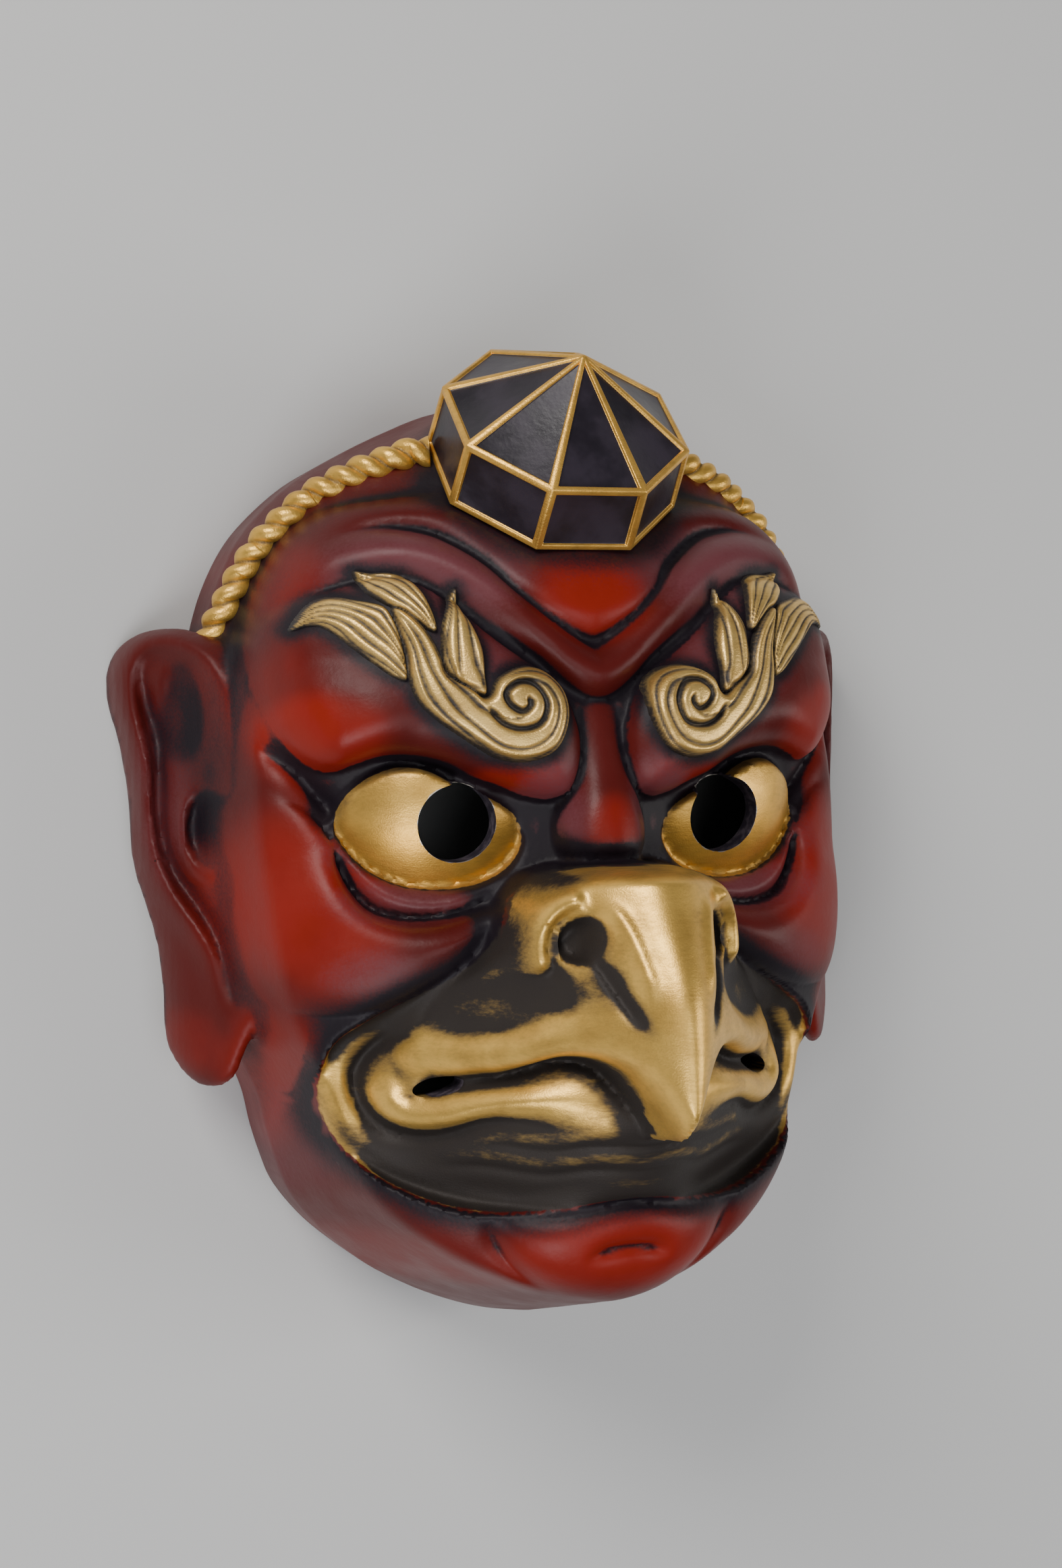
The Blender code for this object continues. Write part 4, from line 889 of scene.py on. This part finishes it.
# The brighter red on the masses is partly painted highlight, the grey violet partly painted sheen
red = mix_color(airbrush, red_highlight_share, (0.088, 0.0075, 0.006, 1), (0.25, 0.013, 0.006, 1))
red = mix_color(airbrush, violet_sheen_share, red, (0.150, 0.045, 0.054, 1))
# The black laid over the red is partly painted shade
red = mix_color(airbrush, spray_shade_share, red, (0.0075, 0.0065, 0.0105, 1))
specks = put(airbrush, "ShaderNodeTexVoronoi", {"feature": "F1"}, {"Vector": where, "Scale": 75})
speck_size = span(airbrush, noise(airbrush, where, 30, 0), 0.62, 0.75, 0.0, 0.075)
speck = calc(airbrush, "LESS_THAN", specks.outputs["Distance"], speck_size)
red = mix_color(airbrush, speck, red, (0.010, 0.007, 0.006, 1))
airbrush.links.new(red, result.inputs["Color"])
airbrush.links.new(calc(airbrush, "ADD", peel, calc(airbrush, "MULTIPLY", mist, 0.3)),
                   result.inputs["Height"])
sheen = span(airbrush, cloud, 0.3, 0.7, 0.36, 0.46)
airbrush.links.new(mix_value(airbrush, spray_shade_share, sheen, 0.50), result.inputs["Roughness"])

# Gold paint: metal flake brushed on, thin over the black wash that stays in every hollow,
# the wash partly painted shade
gilding, given, result = new_group(
    "brushed gold paint",
    [("Wash And Shade", "NodeSocketFloat", 0.0), ("Bright", "NodeSocketColor", (0.80, 0.56, 0.22, 1)),
     ("Dark", "NodeSocketColor", (0.018, 0.017, 0.020, 1))],
    [("Color", "NodeSocketColor"), ("Metallic", "NodeSocketFloat"),
     ("Roughness", "NodeSocketFloat"), ("Height", "NodeSocketFloat")])
where = place(gilding)
stretched = put(gilding, "ShaderNodeMapping", {"vector_type": "POINT"},
                {"Vector": where, "Rotation": (0, 0, 0.35), "Scale": (0.28, 1.6, 0.8)}).outputs[0]
bristle = noise(gilding, stretched, 900, 3, 0.65)
streak = noise(gilding, stretched, 230, 2, 0.6)
flake = noise(gilding, where, 2600, 0)
blotch = noise(gilding, where, 110, 2, 0.55)
uneven = calc(gilding, "ADD", swing(gilding, bristle, 0.9), swing(gilding, streak, 0.6))
uneven = calc(gilding, "ADD", uneven, swing(gilding, blotch, 0.5))
# The wash, partly painted shade, broken up by the brush
brushed_wash_shade = calc(gilding, "ADD", given.outputs["Wash And Shade"], uneven)
wash_shade_share = span(gilding, brushed_wash_shade, -0.3, 1.55, 0, 0.985)
warm = mix_color(gilding, span(gilding, blotch, 0.35, 0.65, 0, 0.35), given.outputs["Bright"],
                 (0.60, 0.33, 0.07, 1))
gilding.links.new(mix_color(gilding, wash_shade_share, warm, given.outputs["Dark"]),
                  result.inputs["Color"])
gilding.links.new(span(gilding, wash_shade_share, 0.2, 1.0, 0.82, 0.20), result.inputs["Metallic"])
gilding.links.new(calc(gilding, "ADD", mix_value(gilding, wash_shade_share, 0.34, 0.50),
                       calc(gilding, "MULTIPLY", flake, 0.10)), result.inputs["Roughness"])
gilding.links.new(calc(gilding, "ADD", calc(gilding, "MULTIPLY", bristle, 0.6),
                       calc(gilding, "MULTIPLY", flake, 0.4)), result.inputs["Height"])


def use_group(tree, group, inputs=()):
    return put(tree, "ShaderNodeGroup", {"node_tree": group}, inputs)


def attribute(tree, name):
    return put(tree, "ShaderNodeAttribute", {"attribute_name": name}).outputs["Fac"]


def new_material(name):
    material = bpy.data.materials.new(name)
    material.use_nodes = True
    return material, material.node_tree, material.node_tree.nodes["Principled BSDF"]


def emboss(tree, shader, strength, distance, height):
    """Fine unevenness of a coat, as a bump of the given depth in metres."""
    bump = put(tree, "ShaderNodeBump",
               inputs={"Strength": strength, "Distance": distance, "Height": height})
    tree.links.new(bump.outputs[0], shader.inputs["Normal"])


def gild(tree, shader, inputs, strength):
    """Brushed gold paint over the whole of a material."""
    coat = use_group(tree, gilding, inputs)
    tree.links.new(coat.outputs["Color"], shader.inputs["Base Color"])
    tree.links.new(coat.outputs["Metallic"], shader.inputs["Metallic"])
    tree.links.new(coat.outputs["Roughness"], shader.inputs["Roughness"])
    emboss(tree, shader, strength, 0.0003, coat.outputs["Height"])


painted, tree, shader = new_material("painted lacquer")
lacquer = use_group(tree, airbrush, {"Spray And Shade": attribute(tree, "spray_and_shade"),
                                     "Red And Highlight": attribute(tree, "red_and_highlight"),
                                     "Violet And Sheen": attribute(tree, "violet_and_sheen")})
# The gold turns more orange towards the bottom of the eyes: painted reflection
leaf_color = mix_color(tree, attribute(tree, "eye_low_reflection"),
                       (0.92, 0.57, 0.135, 1), (0.90, 0.49, 0.085, 1))
leaf_gold = use_group(tree, gilding, {"Wash And Shade": attribute(tree, "wash_and_shade"), "Bright": leaf_color})
where = place(tree)
ragged = calc(tree, "ADD", attribute(tree, "gold"), swing(tree, noise(tree, where, 500, 2), 0.5))
share = span(tree, ragged, 0.35, 0.65)
color = mix_color(tree, share, lacquer.outputs["Color"], leaf_gold.outputs["Color"])
chipped = calc(tree, "MULTIPLY", attribute(tree, "chips"), noise(tree, where, 330, 2))
color = mix_color(tree, span(tree, chipped, 0.42, 0.5), color, (0.60, 0.55, 0.47, 1))
roughness, height = (mix_value(tree, share, lacquer.outputs[output], leaf_gold.outputs[output])
                     for output in ("Roughness", "Height"))
tree.links.new(color, shader.inputs["Base Color"])
tree.links.new(mix_value(tree, share, 0.0, leaf_gold.outputs["Metallic"]),
               shader.inputs["Metallic"])
tree.links.new(roughness, shader.inputs["Roughness"])
emboss(tree, shader, 0.25, 0.00025, height)
shader.inputs["Specular IOR Level"].default_value = 0.24

lined, tree, shader = new_material("black lining")
dabs = noise(tree, place(tree), 160, 3, 0.6)
tree.links.new(mix_color(tree, span(tree, dabs, 0.35, 0.7), (0.020, 0.018, 0.020, 1),
                         (0.040, 0.035, 0.036, 1)), shader.inputs["Base Color"])
tree.links.new(span(tree, dabs, 0.3, 0.7, 0.55, 0.75), shader.inputs["Roughness"])
emboss(tree, shader, 0.4, 0.0006, dabs)

bored, tree, shader = new_material("bored edge")
scrape = noise(tree, place(tree), 400, 3, 0.6)
tree.links.new(mix_color(tree, span(tree, scrape, 0.4, 0.75), (0.028, 0.022, 0.032, 1),
                         (0.110, 0.088, 0.105, 1)), shader.inputs["Base Color"])
shader.inputs["Roughness"].default_value = 0.5
emboss(tree, shader, 0.5, 0.0003, scrape)

# The lining takes the black, and the cut edges of pupils and mouth corners the bare grey
for material in (painted, lined, bored):
    face.data.materials.append(material)
count = len(face.data.polygons)
middle, toward = np.empty(3*count), np.empty(3*count)
face.data.polygons.foreach_get("center", middle)
face.data.polygons.foreach_get("normal", toward)
middle = middle.reshape(-1, 3)*1000-(0, SHIFT, SIDE)
toward = toward.reshape(-1, 3)
mx, my, mz = np.abs(middle[:, 0]), middle[:, 1], middle[:, 2]
top = read_map(outer, grid_x, grid_y, middle[:, 0], my)
inner_side = (toward*np.stack([-middle[:, 0], -my, -mz], 1)).sum(1) > 0
deep = rim_depth(mx, my)
slot = np.zeros(count, int)
under = read_map(widest(outer, WALL, FACE_STEP), grid_x, grid_y, middle[:, 0], my)
wall_side = (deep < 9) | (under-mz > -1.5)
slot[(deep > 1.5) & (top-mz > 2.2) & inner_side & wall_side] = 1
for sign in (1, -1):
    axis = np.array(pupil(sign)[1])
    bore_wall = (from_bore(middle, sign) < PUPIL_BORE/2+0.3) & (np.abs(toward @ axis) < 0.3)
    slot[bore_wall & (mz > 35)] = 2
slot[(np.hypot(mx-41.1, (my+62.7)*2.2) < 6) & (np.abs(toward[:, 2]) < 0.15)] = 2
face.data.polygons.foreach_set("material_index", slot)
face.data.polygons.foreach_set("use_smooth", np.ones(count, bool))
face.data.set_sharp_from_angle(angle=math.radians(50))
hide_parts("mask")
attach(face, "root")


# Eyebrows: flame-shaped locks and a coil, cast with the face, with hair lines cut along each
# lock, painted gold over black in the lines and round each lock, partly a wash and partly painted
# shade.
LOCK_SPINES = [
    [(71, 46.5), (65, 50), (58, 48.5), (52, 43), (48.5, 37), (46, 29)],
    [(55.5, 59), (49, 56), (43.8, 51), (41.4, 45), (40, 38)],
    [(33.6, 55.5), (35.6, 48), (35.5, 41), (36.5, 34), (35, 28)],
    [(49.6, 50), (45.5, 43), (43, 35), (38.5, 27), (33, 22), (27.5, 17.8), (22, 16.8),
     (16.5, 19.6), (13.6, 26), (15.5, 31.5), (20.5, 33.2), (25.5, 32), (28.2, 28.8)]]
COIL = [(31, 27), (27.5, 22.6), (23, 21), (18.5, 22.3), (16.8, 27), (19, 31.2), (23, 32),
        (26.3, 29.5), (25.4, 26.6), (22.6, 25), (20.7, 26.8), (21.9, 29)]


def locks(X, Y):
    """Height of the eyebrow over the brow, and the depth of the wash in its grooves and at its
    edge, partly painted shade.
    """
    height = np.full(X.shape, -4.0)
    groove = np.zeros(X.shape)
    for leaf, spine, rise, lines in zip(LEAVES, LOCK_SPINES, (2.6, 2.8, 3.0, 3.4), (5, 4, 3, 3)):
        s = within(X, Y, leaf, 4)
        d, t, side = nearest(X, Y, spline(spine), 12)
        across = np.where(s > 0, side*d/(d+np.maximum(s, 0.01)), 1)
        comb = (0.5+0.5*np.cos(math.pi*lines*across+1.5*np.sin(9*t)))**3
        comb = comb*np.clip(s/0.9, 0, 1)*taper(t, 0.04, 0.10)
        h = np.where(s > 0, rise*swell(s, 1.9)-0.6*comb, 1.6*s)
        wins = h > height
        height = np.where(wins, h, height)
        # Dark in the hair lines and round the lock: partly painted shade
        groove = np.where(wins, 0.55*comb+0.6*halo(-s, 0.5), groove)
    d, t, _ = nearest(X, Y, spline(COIL), 6)
    coil = taper(t, 0.08, 0.05)*np.exp(-(d/0.75)**2)*(height > 1)
    return height-1.9*coil, np.maximum(groove, coil)


def eyebrow_piece(name, sign, step):
    """A closed solid from 2 mm under the brow to the top of the locks."""
    X, Y = np.meshgrid(np.arange(7, 74, step), np.arange(9.5, 63, step), indexing="ij")
    rise, groove = locks(X, Y)
    ground = face_height(X, Y)
    keep = rise > -0.9
    cell = keep[:-1, :-1] & keep[1:, :-1] & keep[:-1, 1:] & keep[1:, 1:]
    number = np.full(X.shape, -1)
    i, j = np.nonzero(cell)
    for a, b in ((0, 0), (1, 0), (0, 1), (1, 1)):
        number[i+a, j+b] = 0
    used = number == 0
    number[used] = np.arange(used.sum())
    upper = np.stack([sign*X[used], Y[used], (ground+rise)[used]], 1)
    lower = np.stack([sign*X[used], Y[used], ground[used]-2.0], 1)
    n = len(upper)
    quads = np.stack([number[i, j], number[i+1, j], number[i+1, j+1], number[i, j+1]], 1)
    faces = [tuple(q) for q in quads.tolist()]
    faces += [tuple(k+n for k in q[::-1]) for q in quads.tolist()]
    edges = {(a, b) for q in quads.tolist() for a, b in zip(q, q[1:]+q[:1])}
    faces += [(b, a, a+n, b+n) for a, b in sorted(edges) if (b, a) not in edges]
    piece = solid(name, np.vstack([upper, lower]), faces)
    paint(piece.data, "wash_and_shade", np.clip(2.5*np.concatenate([groove[used], groove[used]]), 0, 1.5))
    piece.data.polygons.foreach_set("use_smooth", np.ones(len(piece.data.polygons), bool))
    return piece


gilded, tree, shader = new_material("gilded hair")
gild(tree, shader, {"Wash And Shade": attribute(tree, "wash_and_shade"), "Bright": (0.93, 0.62, 0.20, 1)}, 0.35)
for name, sign in (("left_eyebrow", 1), ("right_eyebrow", -1)):
    brow = eyebrow_piece(name, sign, 0.36)
    brow.data.materials.append(gilded)
    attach(brow, "root")


# Rope: a headband of two twisted strands on each side of the cap, cast in the groove between
# face and scalp, painted gold with brown between the strands that is partly painted shade.
ROPE_RADIUS = 4.1
ROPE_PATH = [(30.5, 91.2), (35, 91), (40, 89.3), (46.5, 87), (52, 84.5), (57.6, 81.4), (64, 76),
             (70, 69.5), (74, 63), (77.5, 56), (81, 48), (82.5, 44)]


def twisted_rope(name, sign, turns, rings, sides):
    """Two strands wound about each other along the rope's path."""
    flat = spline(ROPE_PATH)
    path = np.column_stack([flat, face_height(flat[:, 0], flat[:, 1])+1.5])
    path[:, 2] = np.interp(np.arange(len(path)), np.arange(0, len(path), 5), path[::5, 2])
    run = np.concatenate([[0], np.cumsum(np.linalg.norm(np.diff(path, axis=0), axis=1))])
    share = np.linspace(0, 1, rings)
    spots = np.stack([np.interp(share*run[-1], run, path[:, k]) for k in range(3)], 1)
    points, strand_shade, faces = [], [], []
    for k, p in enumerate(spots):
        a, b = spots[max(k-1, 0)], spots[min(k+1, rings-1)]
        ahead = Vector(b-a).normalized()
        side = ahead.cross(Vector((0, 0, 1))).normalized()
        up = side.cross(ahead)
        twist = 2*math.pi*turns*share[k]
        for m in range(sides):
            angle = 2*math.pi*m/sides
            lobe = abs(math.cos(angle-twist))
            r = ROPE_RADIUS*(0.56+0.44*lobe**0.75)
            q = Vector(p)+side*(r*math.cos(angle))+up*(r*math.sin(angle))
            points.append((sign*q.x, q.y, q.z))
            # Darker between the strands: partly painted shade
            strand_shade.append(max(0, 1-lobe*2.2))
    for k in range(rings-1):
        for m in range(sides):
            n = (m+1) % sides
            faces.append((k*sides+m, k*sides+n, (k+1)*sides+n, (k+1)*sides+m))
    faces.append(tuple(range(sides))[::-1])
    faces.append(tuple((rings-1)*sides+m for m in range(sides)))
    rope = solid(name, points, faces)
    paint(rope.data, "wash_and_shade", strand_shade)
    rope.data.polygons.foreach_set("use_smooth", np.ones(len(rope.data.polygons), bool))
    return rope


cord_gold, tree, shader = new_material("gilded rope")
gild(tree, shader, {"Wash And Shade": calc(tree, "MULTIPLY", attribute(tree, "wash_and_shade"), 1.3),
                    "Bright": (0.93, 0.56, 0.11, 1), "Dark": (0.10, 0.055, 0.02, 1)}, 0.4)
for name, sign in (("left_rope", 1), ("right_rope", -1)):
    rope = twisted_rope(name, sign, 6.75, 300, 28)
    rope.data.materials.append(cord_gold)
    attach(rope, "root")


# Cap: a small eight-sided cap, cast with the crown and hollow under it. Its panels are sunk
# between raised bars and painted black, and the bars are painted gold.
CAP_BAR, PANEL_DEPTH = 3.8, 0.8
cap_points, cap_faces = cap_body(CAP_ACROSS/2, 0, CAP_ROOF_HEIGHT, -CAP_WALL_HEIGHT, 0.7)
cap = solid("cap", cap_points, cap_faces)
frame_paint, tree, shader = new_material("gold bars")
dulled = span(tree, noise(tree, place(tree), 180, 3, 0.6), 0.45, 0.8, 0.0, 0.25)
gild(tree, shader, {"Wash And Shade": dulled, "Bright": (0.93, 0.54, 0.11, 1)}, 0.4)
panel_paint, tree, shader = new_material("black panels")
where = place(tree)
film = noise(tree, where, 90, 3, 0.55)
tree.links.new(mix_color(tree, span(tree, film, 0.35, 0.7), (0.012, 0.009, 0.014, 1),
                         (0.027, 0.020, 0.031, 1)), shader.inputs["Base Color"])
tree.links.new(span(tree, film, 0.3, 0.7, 0.28, 0.42), shader.inputs["Roughness"])
emboss(tree, shader, 0.15, 0.0003, noise(tree, where, 700, 2))
for material in (frame_paint, panel_paint, lined):
    cap.data.materials.append(material)
bm = bmesh.new()
bm.from_mesh(cap.data)
shown = [f for f in bm.faces if f.normal.dot(CAP_AXIS) > -0.7]
bmesh.ops.inset_individual(bm, faces=shown, thickness=CAP_BAR/2*0.001, depth=0)
bmesh.ops.inset_individual(bm, faces=shown, thickness=0.0003, depth=-PANEL_DEPTH*0.001)
for f in shown:
    f.material_index = 1
bm.to_mesh(cap.data)
bm.free()
soften = cap.modifiers.new("Cast edges", "BEVEL")
soften.width = 0.00030
soften.segments = 3
soften.limit_method = "ANGLE"
soften.angle_limit = math.radians(18)
apply_all(cap)
cap_hollow = solid("hollow", hollow_points, hollow_faces, lined)
cut(cap, cap_hollow)
cap.data.polygons.foreach_set("use_smooth", np.ones(len(cap.data.polygons), bool))
cap.data.set_sharp_from_angle(angle=math.radians(40))
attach(cap, "root")
